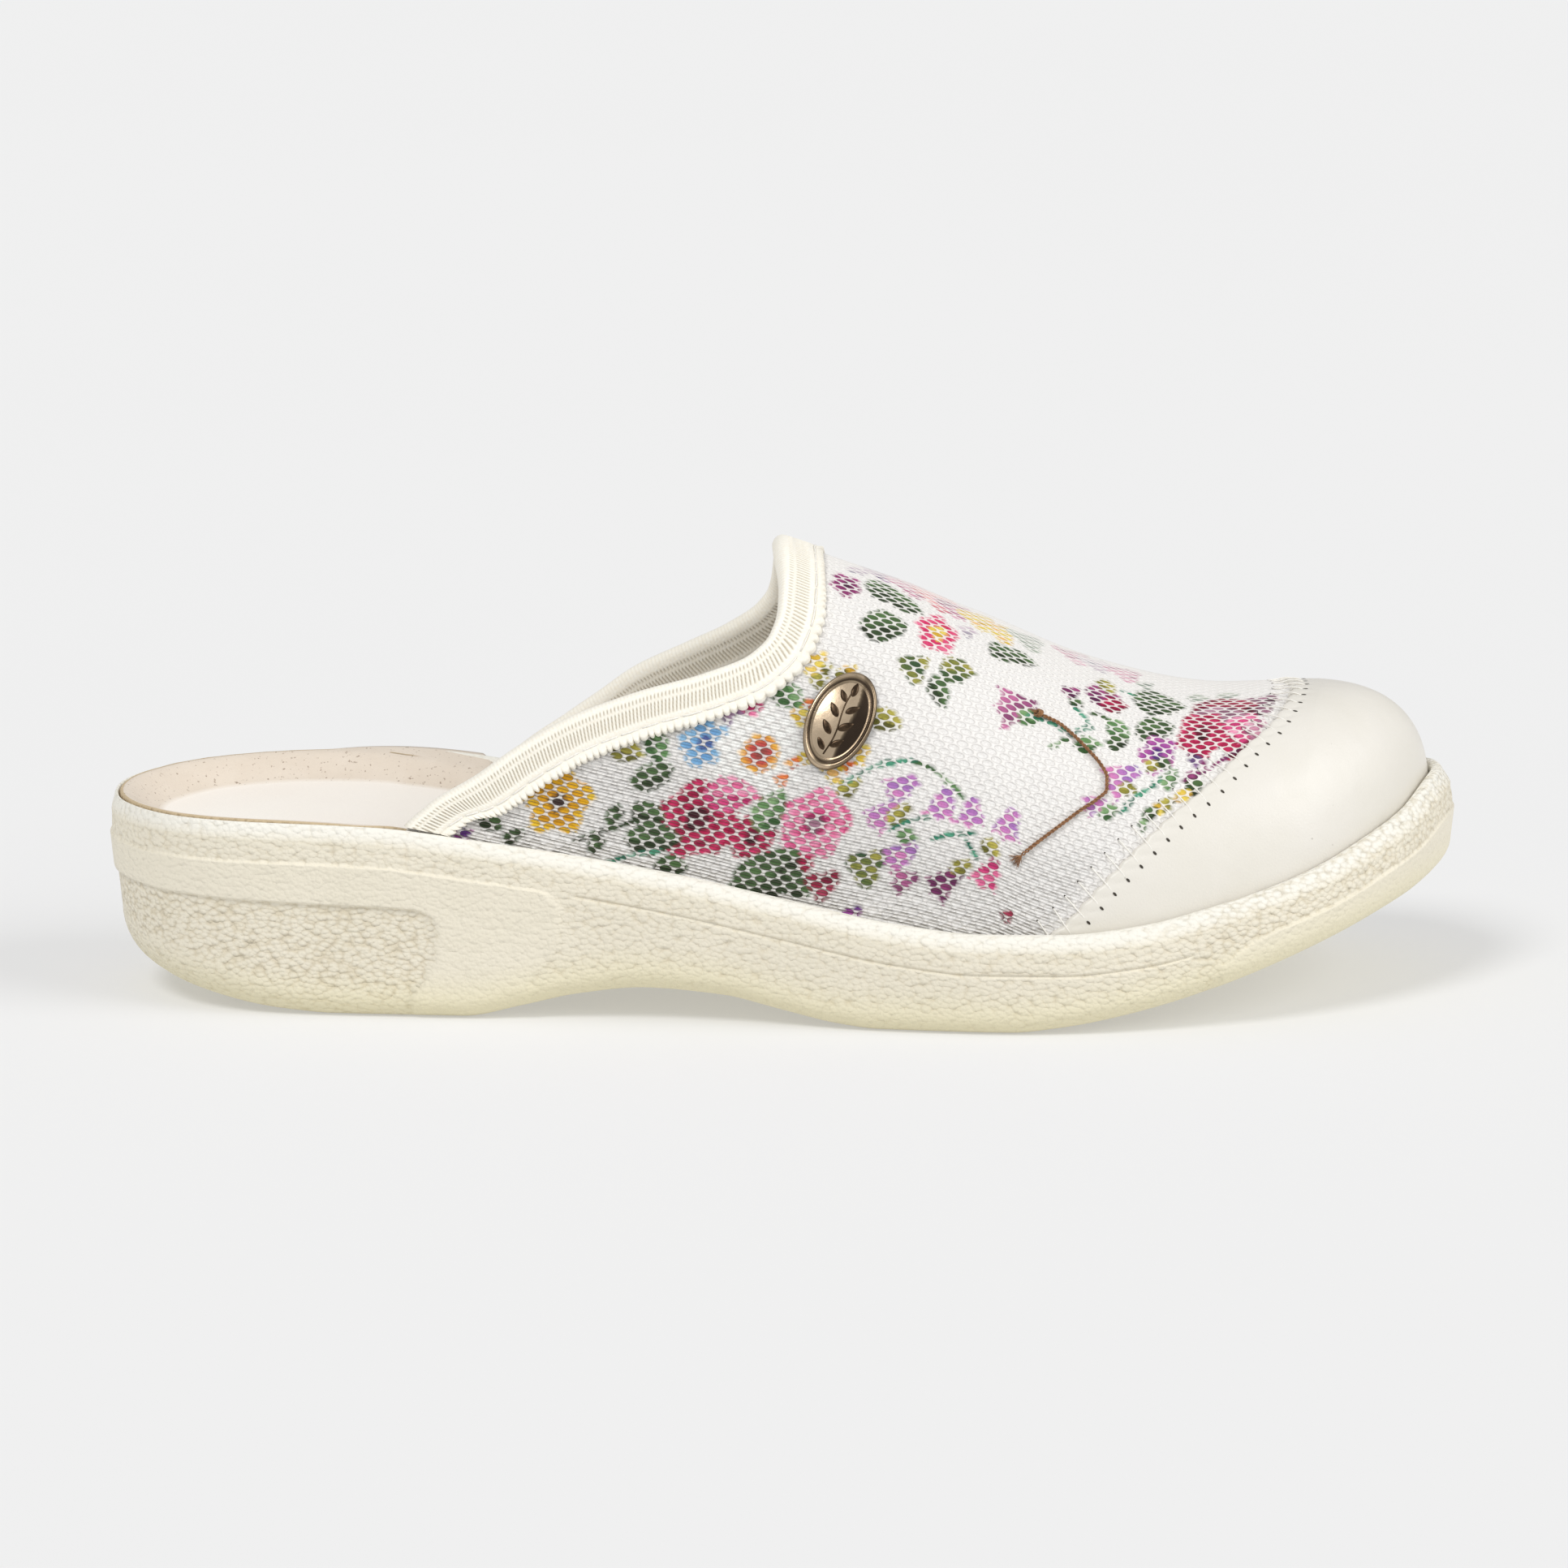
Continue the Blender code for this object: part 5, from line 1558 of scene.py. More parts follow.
def make_net(net_material, print_material):
    """The knitted net: a cell of threads round each oval window on the printed cloth."""
    centre, shape = cell_centres(), cell_shape()
    count, sides = len(centre), len(shape) // 2
    parts = [sides, sides, 1]
    places = (centre[:, None, :] + shape[None, :, :]).reshape(-1, 2)
    a, angle = place_on_net(*places.T)
    point, _, _, normal = vamp_frame(a, angle)
    heights = np.repeat([THREAD_TOP, WINDOW_TOP, PRINT_TOP], parts)
    points = point + normal * np.tile(heights, count)[:, None]

    ring = np.arange(sides)
    after = (ring + 1) % sides
    threads = np.stack([ring, after, after + sides, ring + sides], 1)
    windows = np.stack([ring + sides, after + sides, np.full(sides, 2 * sides)], 1)
    base = (np.arange(count) * len(shape))[:, None, None]
    faces = (threads + base).reshape(-1, 4).tolist() + (windows + base).reshape(-1, 3).tolist()

    random = np.random.default_rng(11)
    patches = np.repeat(random.random(count), len(shape))
    patches = np.clip(patches + random.normal(0, 0.10, len(patches)), 0, 1)
    facing = normal @ TO_CAMERA
    seen = (angle < 8) & (facing > 0.05)
    picture = [np.where(seen, at, UNSEEN) for at in side_view(points)]
    colours = paint_print(places, patches, placed_motifs(places, picture, facing))

    made = make_object("printed_net", points, faces, [net_material, print_material], outward=False)
    slots = np.repeat([0, 1], count * sides).astype(np.int32)
    made.data.polygons.foreach_set("material_index", slots)
    # Strength of the painted shade between the threads: more low on the sides and at the rear, less near
    # the cap.
    share, away = share_at(a), np.abs(angle)
    low = 0.02 + 0.20 * smooth(46, 64, away) + 0.75 * smooth(62, 84, away)
    rear = 0.30 * (1 - smooth(0.50, 0.62, share)) * smooth(30, 50, away)
    hem = 0.25 + 0.75 * smooth(0.004, 0.03, cap_edge(away) - share)
    paint(made, "print", colours)
    # Outline: 1 round each window, where the painted shade line lies.
    paint(made, "outline", np.tile(np.repeat([0.0, 1.0, 0.0], parts), count))
    paint(made, "rows", places[:, 1] / ROW_PITCH)
    paint(made, "along", places[:, 0] / CELL_PITCH)
    paint(made, "depth", (low + rear) * hem)
    mend(made, NET_WELD, outward=False)
    add_to_shoe(made, "vamp")


def make_vamp_body(outer, inner):
    """The wall of the vamp under the net, with its lining."""
    angles = np.linspace(-90, 90, 121)[:, None]
    first = station_at(collar_share(angles))
    a = first + (LAST_STATION - first) * np.linspace(0, 1, 76)
    point, _, _, normal = vamp_frame(np.minimum(a, TOE_END), angles)
    rows = point + normal * CLOTH_TOP
    made = make_sheet("vamp_cloth", rows, [outer, inner], INSIDE_SHOE, VAMP_WALL + CLOTH_TOP, lining=1)
    add_to_shoe(made, "vamp", "vamp")


# Toe cap


STITCH_PITCH = 3.6 * MM
HOLE_INSET = 2.9 * MM
NET_REACH = 3.6 * MM
EDGE_ROLL = 1.1 * MM
# Rows of the cap in front of its edge, in rolls of the edge
EDGE_ROWS = (0, 0.05, 0.15, 0.3, 0.5, 0.75, 1.0, 1.5, 2.0, 2.4, 2.8, 3.3, 4.0)
LEATHER_TOP = CLEARANCE + CAP_THICKNESS - 0.1 * MM
LEATHER_WALL = 0.7 * MM
SCALLOP = 0.30 * MM
SCALLOP_PULL = 0.45 * MM
DIMPLE = 0.12 * MM
CREASE = 0.10 * MM
HOLE_SINK = 0.18 * MM
STITCH_LEAN = 0.18
STITCH_LIFT = 0.42 * MM
STITCH_RADIUS = 0.13 * MM
CAP_HOLE = (0.95 * MM, 0.5 * MM)
NET_HOLE = (0.6 * MM, 0.36 * MM)


def cap_edge_line():
    """Angles, stations and run along the cap's rear edge."""
    angle = np.linspace(-90, 90, 721)
    a = station_at(cap_edge(np.abs(angle)))
    return angle, a, run_along(vamp_point(a, angle))


def make_cap(surface):
    """The leather cap with a rolled rear edge that the stitches pull into scallops."""
    all_angles, _, run = cap_edge_line()
    angle = np.linspace(-90, 90, 441)[:, None]
    edge = station_at(cap_edge(np.abs(angle)))
    speed = np.linalg.norm(vamp_frame(edge, angle)[1], axis=-1)
    near = edge + np.array(EDGE_ROWS) * EDGE_ROLL / speed
    fan = max(float(station_at(FAN_SHARE)), float(near[:, -1].max()) + 0.05)
    middle = near[:, -1:] + (fan - near[:, -1:]) * np.linspace(0, 1, 22)[None, 1:]
    front = np.linspace(fan, LAST_STATION, 26)[None, 1:] + 0 * middle[:, :1]
    a = np.concatenate([near, middle, front], 1)
    point, along, _, normal = vamp_frame(np.minimum(a, TOE_END), angle)
    inside = (a - edge) * speed
    turn = np.clip(inside / EDGE_ROLL, 0, 1)
    rolled = CAP_THICKNESS * (np.sqrt(1 - (1 - turn) ** 2) - 1)
    lift = LEATHER_TOP + rolled - CLEARANCE * (1 - smooth(0, 0.3, turn))
    phase = 2 * math.pi * np.interp(angle, all_angles, run) / STITCH_PITCH
    pull = 0.5 + 0.5 * np.cos(phase)
    scallop = (SCALLOP - SCALLOP_PULL * pull) * np.exp(-((inside / (1.3 * MM)) ** 2))
    dimple = DIMPLE * pull**3 * np.exp(-(((inside - HOLE_INSET) / (0.7 * MM)) ** 2))
    crease = CREASE * pull * np.exp(-((inside / (4 * MM)) ** 2))
    rows = point + normal * (lift - dimple - crease)[..., None] - unit(along) * scallop[..., None]
    made = make_sheet("toe_cap_leather", rows, [surface], INSIDE_SHOE, LEATHER_WALL)
    add_to_shoe(made, "toe_cap", "toe_cap")


def dark_pits(name, points, normals, tangents, size, surface):
    """Small dark oval discs laid on a face, painted shade that stands for the inside of needle holes, as
    one mesh: size is length and width.
    """
    sides = 10
    ring = 2 * math.pi * np.arange(sides) / sides
    rows, faces = [], []
    for k, (point, normal, tangent) in enumerate(zip(points, normals, tangents)):
        spokes = np.cos(ring)[:, None] * tangent * size[0] / 2
        spokes = spokes + np.sin(ring)[:, None] * np.cross(normal, tangent) * size[1] / 2
        rows.append(point + spokes + normal * 0.02 * MM)
        rows.append((point + normal * 0.05 * MM)[None, :])
        first = (sides + 1) * k
        faces += [[first + i, first + (i + 1) % sides, first + sides] for i in range(sides)]
    return make_object(name, np.concatenate(rows), faces, [surface], outward=False)


def make_cap_stitches(thread_material, pit_material):
    """Zigzag stitches over the cap's edge, from needle holes in the leather to holes in
    the net."""
    angles, stations, run = cap_edge_line()
    at = STITCH_PITCH * np.arange(1, int((run[-1] - 3 * MM) / STITCH_PITCH) + 1)
    a, angle = np.interp(at, run, stations), np.interp(at, run, angles)
    edge, _, _, out = vamp_frame(a, angle)
    ahead = at + 0.5 * MM
    tangent = unit(vamp_point(np.interp(ahead, run, stations), np.interp(ahead, run, angles)) - edge)
    forward = unit(np.cross(tangent, out))
    forward = np.where(forward[:, :1] < 0, -forward, forward)
    hole, _, _, hole_out = walk(a, angle, forward, HOLE_INSET)
    hole_point = hole + hole_out * (LEATHER_TOP - HOLE_SINK)
    back = unit(np.where(angle[:, None] < 0, tangent, -tangent) * STITCH_LEAN - forward)
    anchor, _, _, anchor_out = walk(a, angle, back, NET_REACH)
    steps = np.linspace(0, 1, 9)[:, None]
    lift = STITCH_LIFT * np.sin(math.pi * np.minimum(steps * 1.35, 1.0))
    threads = Tubes()
    for start, end, up in zip(hole_point + back * 0.35 * MM, anchor + anchor_out * 0.12 * MM, out):
        threads.add(start * (1 - steps) + end * steps + up * lift, STITCH_RADIUS, 6)
    add_to_shoe(threads.make("cap_stitches", thread_material), "toe_cap")
    raised = hole_point + hole_out * 0.20 * MM
    pits = dark_pits("cap_needle_holes", raised, hole_out, unit(hole - edge), CAP_HOLE, pit_material)
    add_to_shoe(pits, "toe_cap")
    raised = anchor + anchor_out * 0.1 * MM
    pits = dark_pits("net_needle_holes", raised, anchor_out, unit(anchor - edge), NET_HOLE, pit_material)
    add_to_shoe(pits, "toe_cap")


# Collar tape


RIB_PITCH = 0.72 * MM
RIB_LEAN = 0.25
PICOT_PITCH = 1.45 * MM
TAPE_SECTIONS = 1650
TAPE_TOP = CLEARANCE + BINDING_THICKNESS
# Rows across a leg of the tape, from its scalloped edge to the fold
TAPE_ROWS = (
    1.0, 0.985, 0.965, 0.94, 0.91, 0.87, 0.83, 0.79, 0.76, 0.72, 0.62,
    0.56, 0.48, 0.38, 0.28, 0.22, 0.19, 0.14, 0.09, 0.04, 0.0,
)
FOLD_TURNS = np.radians([25, 50, 75, 100, 130, 155])
SEAM_SHARE = 0.76
VALLEY_SHARE = 0.205
RIB_DEPTH = 0.26 * MM
SEAM_DEPTH = 0.22 * MM
VALLEY_DEPTH = 0.08 * MM
PAD_HEIGHT = 0.05 * MM
PICOT_REACH = 0.80 * MM
PICOT_HEIGHT = 0.60 * MM
LOCKSTITCH_PITCH = 4.2 * MM
LOCKSTITCH_RADIUS = 0.16 * MM
TAPE_HOLE = (0.8 * MM, 0.5 * MM)


def rim_at(angle, share):
    return by_side(angle, lambda side: rim_height(side, share))


def collar_line(count):
    """Evenly spaced places along the collar's edge, above the lateral rim over the ridge
    to above the medial rim: stations, angles and run."""
    angle = -90.0 + np.arange(1801) / 10
    share = collar_share(angle)
    a = station_at(share)
    point = vamp_point(a, angle)
    free = point[:, 2] > rim_at(angle, share) + RIM_CROWN + CLEARANCE
    angle, a, run = angle[free], a[free], run_along(point[free])
    even = np.linspace(0, run[-1], count)
    return np.interp(even, run, a), np.interp(even, run, angle), even


def tape_frames(a, angle):
    """Points, normals and the way across the tape from the collar's edge."""
    point, along, _, normal = vamp_frame(a, angle)
    inward = np.cross(normal, unit(np.gradient(point, axis=0)))
    inward = np.where(inward[:, :1] > 0, inward, -inward)
    above_rim = point[:, 2] - rim_at(angle, share_of(point[:, 0]))
    level = (1 - smooth(LEVEL_HEIGHT, TURNED_HEIGHT, above_rim))[:, None]
    return point, normal, unit(inward * (1 - level) + unit(along) * level)


def smooth_noise(run, size, seed):
    """A smooth random line from -1 to 1 along a run."""
    count = int(run[-1] / size) + 3
    values = np.random.default_rng(seed).uniform(-1, 1, count)
    return np.interp(run / size, np.arange(count), values)


def make_tape(surface, thread_material, pit_material):
    """The ribbed tape folded over the collar's edge, with its scalloped outer edge."""
    a, angle, run = collar_line(TAPE_SECTIONS)
    point, normal, direction = tape_frames(a, angle)
    jitter = smooth_noise(run, PICOT_PITCH, 3)
    picot = np.abs(np.sin(math.pi * (run + 0.25 * MM * jitter) / PICOT_PITCH))
    picot = picot**0.5 * (1 + 0.18 * smooth_noise(run, PICOT_PITCH, 4))
    picot *= 0.45 + 0.55 * smooth(20, 42, np.abs(angle))
    wave = 0.12 * MM * smooth_noise(run, 9 * MM, 6)
    flatter = (1 - 0.5 * smooth(5, 30, -angle))[:, None]

    def slit(share):
        """Narrow dips between the ribs, which lean a little along the tape."""
        place = (run + RIB_LEAN * share * BINDING_WIDTH) / RIB_PITCH
        return (0.5 - 0.5 * np.cos(2 * math.pi * place)) ** 2.5

    def leg(shares, outer):
        """Rows of points across one leg of the tape, and their painted shade."""
        rows, dips = [], []
        for share in shares:
            frilled = smooth(0.80, 1.0, share)
            ribs = 0.8 * smooth(0.04, 0.09, share) * (1 - smooth(0.14, 0.19, share))
            ribs += smooth(0.22, 0.28, share) * (1 - smooth(0.54, 0.62, share))
            dent = slit(share) * ribs
            seam = math.exp(-(((share - SEAM_SHARE) / 0.035) ** 2))
            valley = math.exp(-(((share - VALLEY_SHARE) / 0.03) ** 2))
            height = PAD_HEIGHT * math.sin(math.pi * min(share / 0.72, 1.0)) - RIB_DEPTH * dent
            height = height - SEAM_DEPTH * seam - VALLEY_DEPTH * valley + wave * (1 - frilled)
            if outer:
                reach = share * BINDING_WIDTH + frilled * (PICOT_REACH * picot - 0.2 * MM)
                height = height + PICOT_HEIGHT * picot * frilled * (1 - smooth(0.93, 1.0, share))
                height = height - 0.55 * MM * smooth(0.94, 1.0, share)
                place, _, _, out = walk(a, angle, direction, reach)
                rows.append(place + out * (TAPE_TOP + height)[:, None])
            else:
                height = height - 0.4 * MM * smooth(0.92, 1.0, share)
                place, _, _, out = walk(a, angle, direction, share * BINDING_WIDTH * 0.98)
                rows.append(place - out * (VAMP_WALL + TAPE_TOP + height)[:, None])
            # Painted shade: in the rib dips, the seam, the valley and the gaps between the picots.
            shade = 0.95 * dent + 0.3 * seam * (0.4 + 0.6 * (1 - picot))
            shade = shade + 0.5 * frilled * (1 - picot) + 0.12 * valley
            dips.append(np.clip(shade, 0, 1))
        return rows, dips

    def bend(radius, turns):
        """Rows of points round the collar's edge."""
        middle = point - normal * (VAMP_WALL / 2)
        return [
            middle - direction * (radius * flatter * math.sin(t)) + normal * (radius * math.cos(t))
            for t in turns
        ]

    def hidden(shares, height):
        """Rows of points on the tape's face against the vamp."""
        frames = [walk(a, angle, direction, share * BINDING_WIDTH) for share in shares]
        return [place + out * height for place, _, _, out in frames]

    outer_rows, outer_dips = leg(TAPE_ROWS, True)
    inner_rows, inner_dips = leg(TAPE_ROWS[::-1], False)
    fold = bend(VAMP_WALL / 2 + TAPE_TOP, FOLD_TURNS)
    back = hidden((0.96, 0.5, 0.0), -(VAMP_WALL + 0.5 * CLEARANCE))
    back += bend(VAMP_WALL / 2 + 0.5 * CLEARANCE, FOLD_TURNS[::-2])
    back += hidden((0.0, 0.5, 0.96), 0.6 * CLEARANCE)
    # Painted shade: faint in the fold's slits, half dark on the face against the vamp.
    dips = outer_dips + [0.15 * slit(0.0)] * len(fold) + inner_dips
    dips += [np.full(len(run), 0.5)] * len(back)
    grid = np.stack(outer_rows + fold + inner_rows + back, 1)
    sections, columns = grid.shape[:2]
    last = (sections - 1) * columns
    ends = [list(range(columns)), list(range(last, last + columns))]
    faces = grid_faces(sections, columns, closed=True).tolist() + ends
    made = make_object("collar_tape", grid, faces, [surface])
    paint(made, "dip", np.stack(dips, 1).ravel())
    add_to_shoe(made, "collar_binding", "collar_binding")
    make_tape_stitches(a, angle, run, direction, thread_material, pit_material)


def make_tape_stitches(a, angle, run, direction, thread_material, pit_material):
    """Lockstitches sunk in the tape's seam, with needle holes between the inner ones."""
    place, _, _, normal = walk(a, angle, direction, SEAM_SHARE * BINDING_WIDTH)
    ends = np.searchsorted(run, np.arange(2 * MM, run[-1] - 2 * MM, LOCKSTITCH_PITCH))
    hump = np.sin(np.linspace(0, math.pi, 7))[:, None] * 0.10 * MM - 0.03 * MM
    seam_top = TAPE_TOP - 0.10 * MM
    threads = Tubes()
    for out, height in ((normal, seam_top), (-normal, VAMP_WALL + seam_top)):
        line = place + out * height
        for start, end in zip(ends[:-1], ends[1:]):
            ids = np.linspace(start + 3, end - 3, 7).astype(int)
            threads.add(line[ids] + out[ids] * hump, LOCKSTITCH_RADIUS, 6)
    add_to_shoe(threads.make("tape_stitches", thread_material), "collar_binding")
    ways = unit(np.gradient(line, axis=0))
    line, out, ways = (part[ends[:-1]] for part in (line, out, ways))
    made = dark_pits("tape_needle_holes", line + out * 0.10 * MM, out, ways, TAPE_HOLE, pit_material)
    add_to_shoe(made, "collar_binding")


# Badge


BADGE_SIDES = 96
FIELD_SIZE = 0.78
FIELD_HEIGHT = 0.84 * MM
FIELD_CROWN = 0.42 * MM


def badge_places(p, q):
    """Vamp frames under places on the badge: p along its length, q across it."""
    a, angle = float(station_at(BADGE_PLACE[0])), BADGE_PLACE[1]
    _, along, _, normal = vamp_frame(np.array(a), np.array(angle))
    forward = unit(along)
    upward = unit(np.cross(normal, forward))
    upward = upward if upward[2] > 0 else -upward
    tilt = math.radians(BADGE_TILT)
    p, q = np.asarray(p, float)[..., None], np.asarray(q, float)[..., None]
    way = forward * (p * math.cos(tilt) - q * math.sin(tilt))
    way = way + upward * (p * math.sin(tilt) + q * math.cos(tilt))
    length = np.linalg.norm(way, axis=-1)
    way = np.where(length[..., None] < 1e-9, forward, way)
    start = np.full(length.shape, a), np.full(length.shape, angle)
    place, _, _, out = walk(*start, unit(way), length)
    return place, out


def field_height(square):
    """Height of the domed field at the square of a place's share of the half width."""
    return FIELD_HEIGHT + FIELD_CROWN * (1 - square / FIELD_SIZE**2)


def field_places(p, q):
    """Points and normals of the badge's field."""
    place, normal = badge_places(p, q)
    square = (p / (BADGE_LENGTH / 2)) ** 2 + (q / (BADGE_WIDTH / 2)) ** 2
    return place + normal * (CLEARANCE + field_height(square))[..., None], normal


# Badge profile: share of the half width, height in mm above the clearance, tarnish.
BADGE_PROFILE = (
    (1.000, 0.00, 0.95),
    (1.000, 0.55, 0.85),
    (0.992, 0.85, 0.66),
    (0.970, 1.15, 0.53),
    (0.935, 1.30, 0.48),
    (0.900, 1.24, 0.50),
    (0.872, 1.00, 0.70),
    (0.850, 0.80, 0.98),
    (0.832, 0.80, 0.90),
    (0.815, 0.92, 0.60),
    (0.795, 0.96, 0.50),
    (0.780, 0.84, 0.55),
)


def make_badge(surface, dark_surface):
    """The rimmed plate, with a painted dark reflection on the toe side of its field below a slanting wavy
    line.
    """
    turns = 2 * math.pi * np.arange(BADGE_SIDES) / BADGE_SIDES
    rim = [(size, height * MM, dark) for size, height, dark in BADGE_PROFILE]
    field = [(size, field_height(size**2), None) for size in np.linspace(0.74, 0.0, 12)]
    rows, tarnish = [], []
    for size, height, dark in rim + field:
        x, y = size * np.cos(turns), size * np.sin(turns)
        place, normal = badge_places(BADGE_LENGTH / 2 * x, BADGE_WIDTH / 2 * y)
        rows.append(place + normal * (CLEARANCE + height))
        # Painted reflection: dark on the field below a slanting wavy line, laid faintly over the rim's
        # tarnish too.
        line = 0.30 * x - y - 0.26 - 0.18 * np.sin(2.2 * x + 0.3)
        shade = 0.40 + 0.62 * smooth(-0.05, 0.09, line)
        tarnish.append(shade if dark is None else np.clip(dark + 0.25 * (shade - 0.55), 0, 1))
    faces = grid_faces(len(rows), BADGE_SIDES, closed=True).tolist() + [list(range(BADGE_SIDES))]
    made = make_object("badge_plate", np.array(rows), faces, [surface])
    paint(made, "tarnish", np.concatenate(tarnish))
    mend(made, WELD)
    add_to_shoe(made, "badge", "badge")
    make_sprig(dark_surface)


# Leaves of the sprig on the badge: place along, side, turn in degrees, half length in mm.
SPRIG_LEAVES = (
    (-5.4, 1.35, 48, 1.35),
    (-4.2, -1.35, -44, 1.45),
    (-2.2, 1.65, 50, 1.6),
    (-0.8, -1.55, -46, 1.65),
    (1.2, 1.75, 48, 1.6),
    (2.5, -1.35, -44, 1.5),
    (4.3, 1.35, 44, 1.35),
    (6.2, -0.1, 4, 1.5),
)


def make_sprig(surface):
    """A small leaf sprig in relief on the badge's field."""
    u, v = np.linspace(-1, 1, 13)[:, None], np.linspace(-1, 1, 7)[None, :]
    width = 0.42 * np.clip(1 - u**2, 0, 1) ** 0.75 * (1.1 - 0.25 * u)
    vein = 1 - 0.35 * np.exp(-((v / 0.18) ** 2))
    rise = 0.30 * MM * (1 - v**2) * np.clip(1 - u**2, 0, 1) ** 0.5 * vein - 0.03 * MM
    points, faces = [], []
    for p0, q0, turn, half in SPRIG_LEAVES:
        cos, sin = math.cos(math.radians(turn)), math.sin(math.radians(turn))
        x, y = half * u + 0 * v, half * width * v
        place, normal = field_places((p0 + x * cos - y * sin) * MM, (q0 + x * sin + y * cos) * MM)
        faces += grid_faces(*x.shape, start=len(points) * x.size).tolist()
        points.append((place + normal * rise[..., None]).reshape(-1, 3))
    leaves = make_object("badge_sprig", np.concatenate(points), faces, [surface], outward=False)
    add_to_shoe(leaves, "badge")
    stem = Tubes()
    along = np.linspace(-7.0, 5.4, 24)
    stem.add(field_places(along * MM, 0.35 * MM * np.sin(along * 0.5))[0], 0.16 * MM, 8)
    add_to_shoe(stem.make("badge_stem", surface), "badge")


# Couched thread


TWIST_PITCH = 1.7 * MM
PLY_RADIUS = 0.20 * MM
PLY_OFFSET = 0.18 * MM
THREAD_STEPS = 420
KNOT_RADIUS = 0.62 * MM
KNOT_PLY_RADIUS = 0.24 * MM
# Frayed fibres: end of the thread, way along it, how many, longest in mm
FRAYS = ((0, -1, 12, 1.8), (-1, 1, 34, 2.6))


def make_thread(surface):
    """Two twisted plies on the vamp, with a knot at the start and a frayed end."""
    rows = [(i, *row) for i, row in enumerate(THREAD_ROUTE)]
    at = np.linspace(0, len(rows) - 1, THREAD_STEPS)
    place, _, _, normal = vamp_frame(station_at(column(rows, 1)(at)), column(rows, 2)(at))
    middle = place + normal * (THREAD_DIAMETER / 2)
    run = run_along(middle)
    even = np.linspace(0, run[-1], THREAD_STEPS)
    middle, normal = (
        np.stack([np.interp(even, run, part[:, k]) for k in range(3)], 1) for part in (middle, normal)
    )
    normal = unit(normal)
    tangent = unit(np.gradient(middle, axis=0))
    side = unit(np.cross(tangent, normal))
    thread = Tubes()
    loose = 1 + 0.35 * smooth(run[-1] - 5 * MM, run[-1], even)
    taper = PLY_RADIUS * (1 - 0.35 * smooth(run[-1] - 3 * MM, run[-1], even))
    for ply in range(2):
        turn = 2 * math.pi * even / TWIST_PITCH + math.pi * ply
        offset = normal * np.cos(turn)[:, None] + side * np.sin(turn)[:, None]
        thread.add(middle + offset * (PLY_OFFSET * loose)[:, None], taper, 8)
    random = np.random.default_rng(21)
    for k in range(3):
        tilt = random.uniform(-0.5, 0.5)
        loop = (2 * math.pi * np.linspace(0, 1, 26) * 1.1 + k * 2.1)[:, None]
        ring = (side[0] * np.cos(loop) + normal[0] * np.sin(loop)) * KNOT_RADIUS
        ring = ring + tangent[0] * (np.sin(loop + tilt) * 0.35 + 0.25 * (k - 1)) * MM
        thread.add(middle[0] + ring + normal[0] * 0.1 * MM, KNOT_PLY_RADIUS, 8)
    steps = np.linspace(0, 1, 10)[:, None]
    for k, way, count, longest in FRAYS:
        for _ in range(count):
            spread, length = random.uniform(-0.7, 0.7), random.uniform(0.4, 1.0) * longest * MM
            curl, rise = random.uniform(-0.5, 0.5), random.uniform(-0.1, 0.4)
            line = middle[k] + tangent[k] * way * length * steps
            line = line + side[k] * length * (spread * steps + curl * steps**2)
            line = line + normal[k] * ((rise * steps - 0.35 * steps**2) * length)
            thread.add(line, np.linspace(0.09, 0.03, 10) * MM, 5)
    add_to_shoe(thread.make("brown_thread", surface), "couched_thread", "couched_thread")


# Floor, light and camera


FLOOR_HALF = 12.0
WHITE = (1.0, 1.0, 1.0, 1.0)
WORLD_STRENGTH = 0.47
# Lights: name, way towards the light, energy, spread in degrees
LIGHTS = (
    ("left_light", (-0.35, -0.55, 0.76), 1.35, 20),
    ("right_light", (0.78, -0.35, 0.52), 1.3, 40),
)


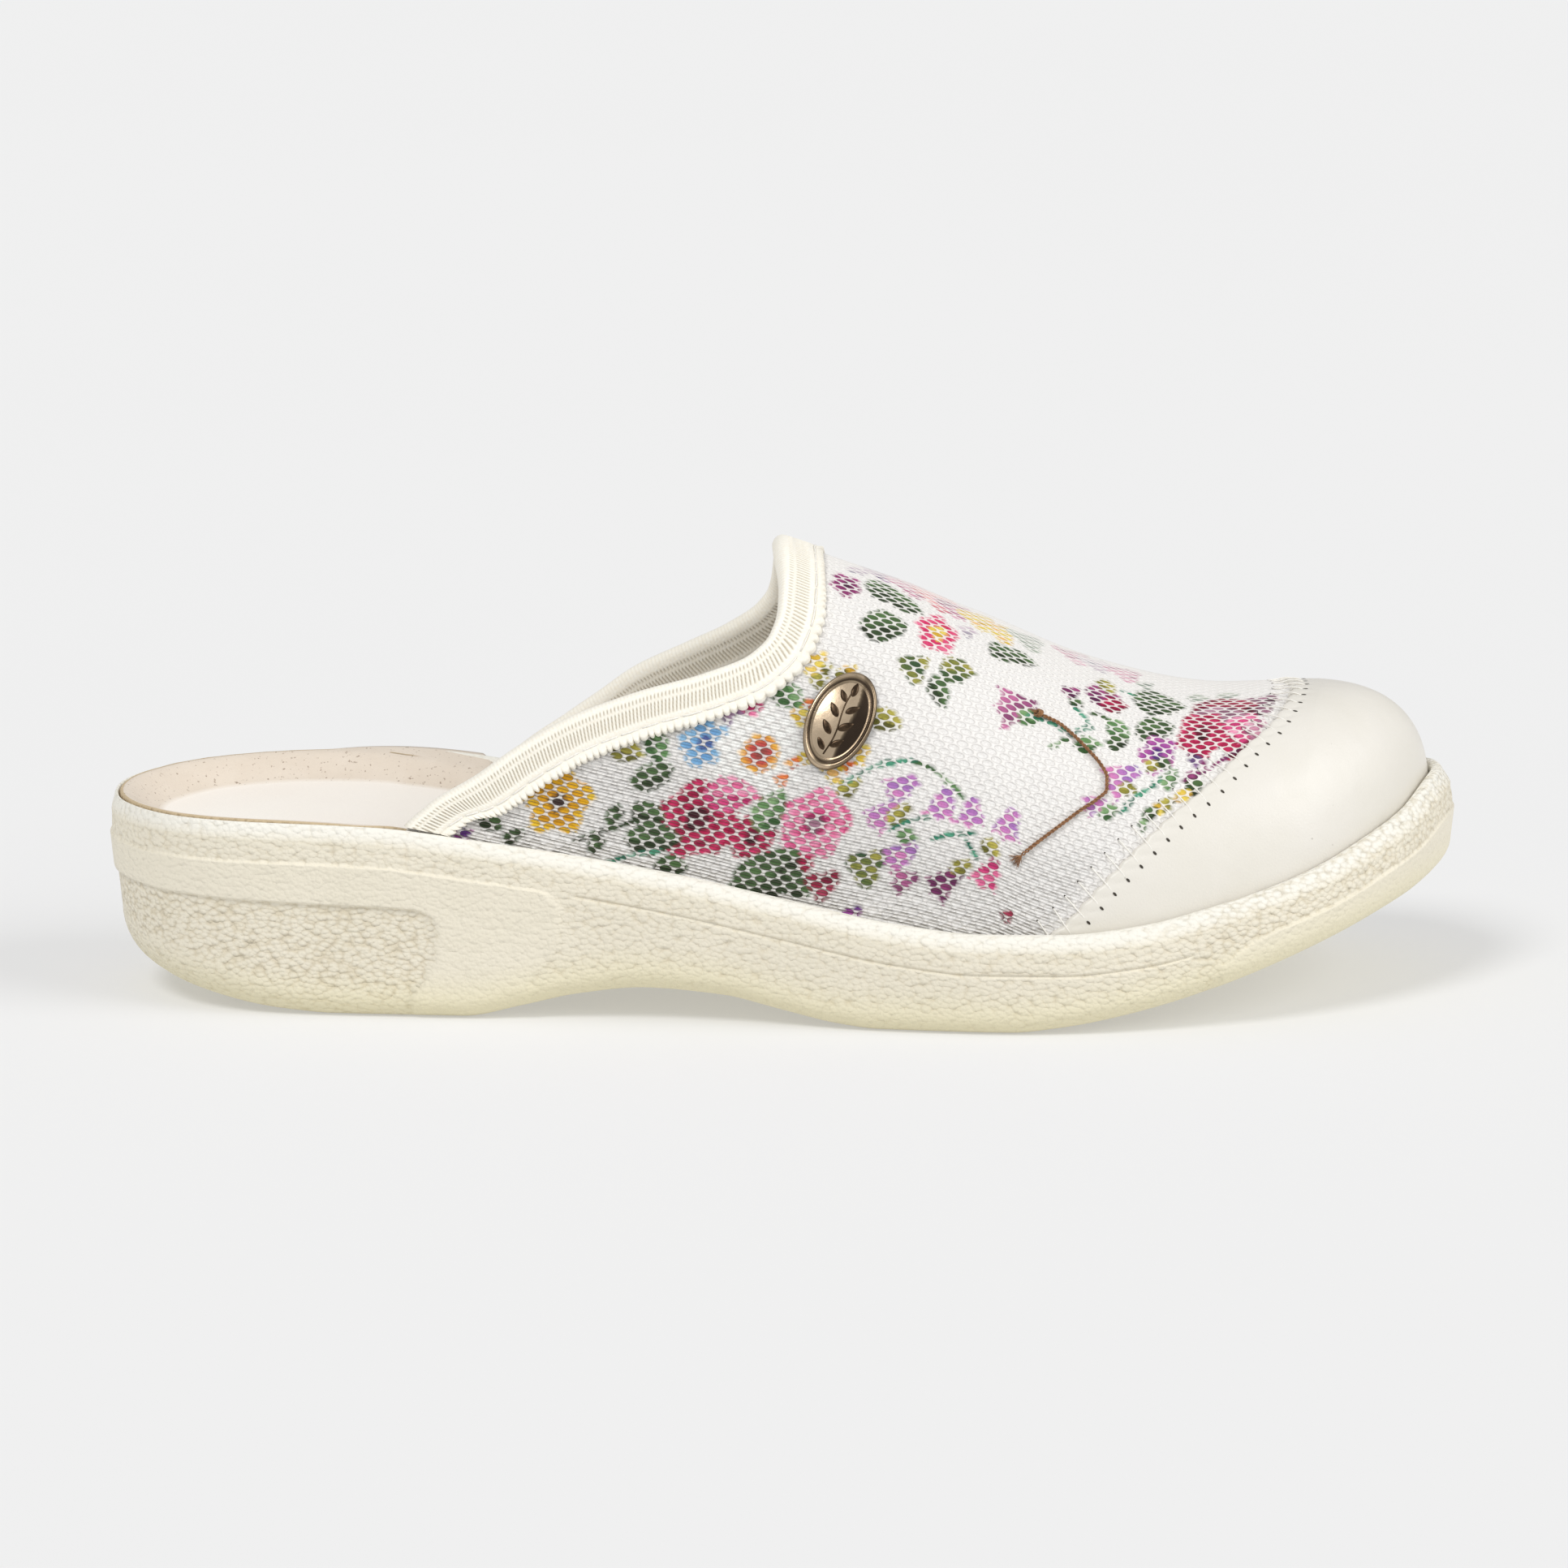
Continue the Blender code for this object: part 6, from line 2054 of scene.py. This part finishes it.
def make_stage():
    """A plain pale floor that glows a little, painted light that lifts the shadows on it, under an even
    white sky and two soft lights.
    """
    # The floor's glow keeps it evenly bright, and is painted light that lifts the shadows on it and lights
    # the shoe from below.
    floor = Surface("pale_floor", 0.9, Specular_IOR_Level=0.0, Emission_Strength=0.32, Emission_Color=WHITE)
    floor.colour(floor.mottle(0.6, 2, "C2C2C2", "C3C3C3"))
    mesh = bmesh.new()
    bmesh.ops.create_grid(mesh, x_segments=8, y_segments=8, size=FLOOR_HALF)
    data = bpy.data.meshes.new("floor")
    mesh.to_mesh(data)
    mesh.free()
    data.materials.append(floor.material)
    link("floor", data)

    world = bpy.data.worlds.new("studio")
    world.use_nodes = True
    sky = world.node_tree.nodes["Background"]
    sky.inputs["Color"].default_value = WHITE
    sky.inputs["Strength"].default_value = WORLD_STRENGTH
    bpy.context.scene.world = world
    for name, towards, energy, spread in LIGHTS:
        lamp = bpy.data.lights.new(name, "SUN")
        lamp.energy = energy
        lamp.angle = math.radians(spread)
        link(name, lamp).rotation_euler = Vector(towards).to_track_quat("Z", "Y").to_euler()


def make_camera():
    data = bpy.data.cameras.new("camera")
    data.lens = CAMERA_LENS
    data.sensor_width = CAMERA_SENSOR
    data.clip_start = 0.01
    data.clip_end = 60.0
    camera = link("camera", data)
    camera.location = CAMERA_AIM + CAMERA_UP * CAMERA_LIFT + TO_CAMERA * CAMERA_DISTANCE
    camera.rotation_euler = Vector(TO_CAMERA).to_track_quat("Z", "Y").to_euler()
    bpy.context.scene.camera = camera
    bpy.context.scene.view_settings.view_transform = "Standard"


def main():
    make_camera()
    make_stage()
    pits = hole_shade_surface()
    white_thread = thread_surface("white_thread", "E9E5DC", "FAF8F2", 0.4 * MM)
    make_sole(sole_surface())
    make_insole(insole_surface(), insole_edge_surface())
    make_vamp_body(net_surface(), lining_surface())
    make_net(net_surface(), print_surface())
    make_cap(cap_surface())
    make_cap_stitches(white_thread, pits)
    make_tape(tape_surface(), white_thread, pits)
    make_badge(badge_surface(), dark_bronze_surface())
    make_thread(thread_surface("brown_yarn", "6A4428", "A4764C", 0.5 * MM))


main()
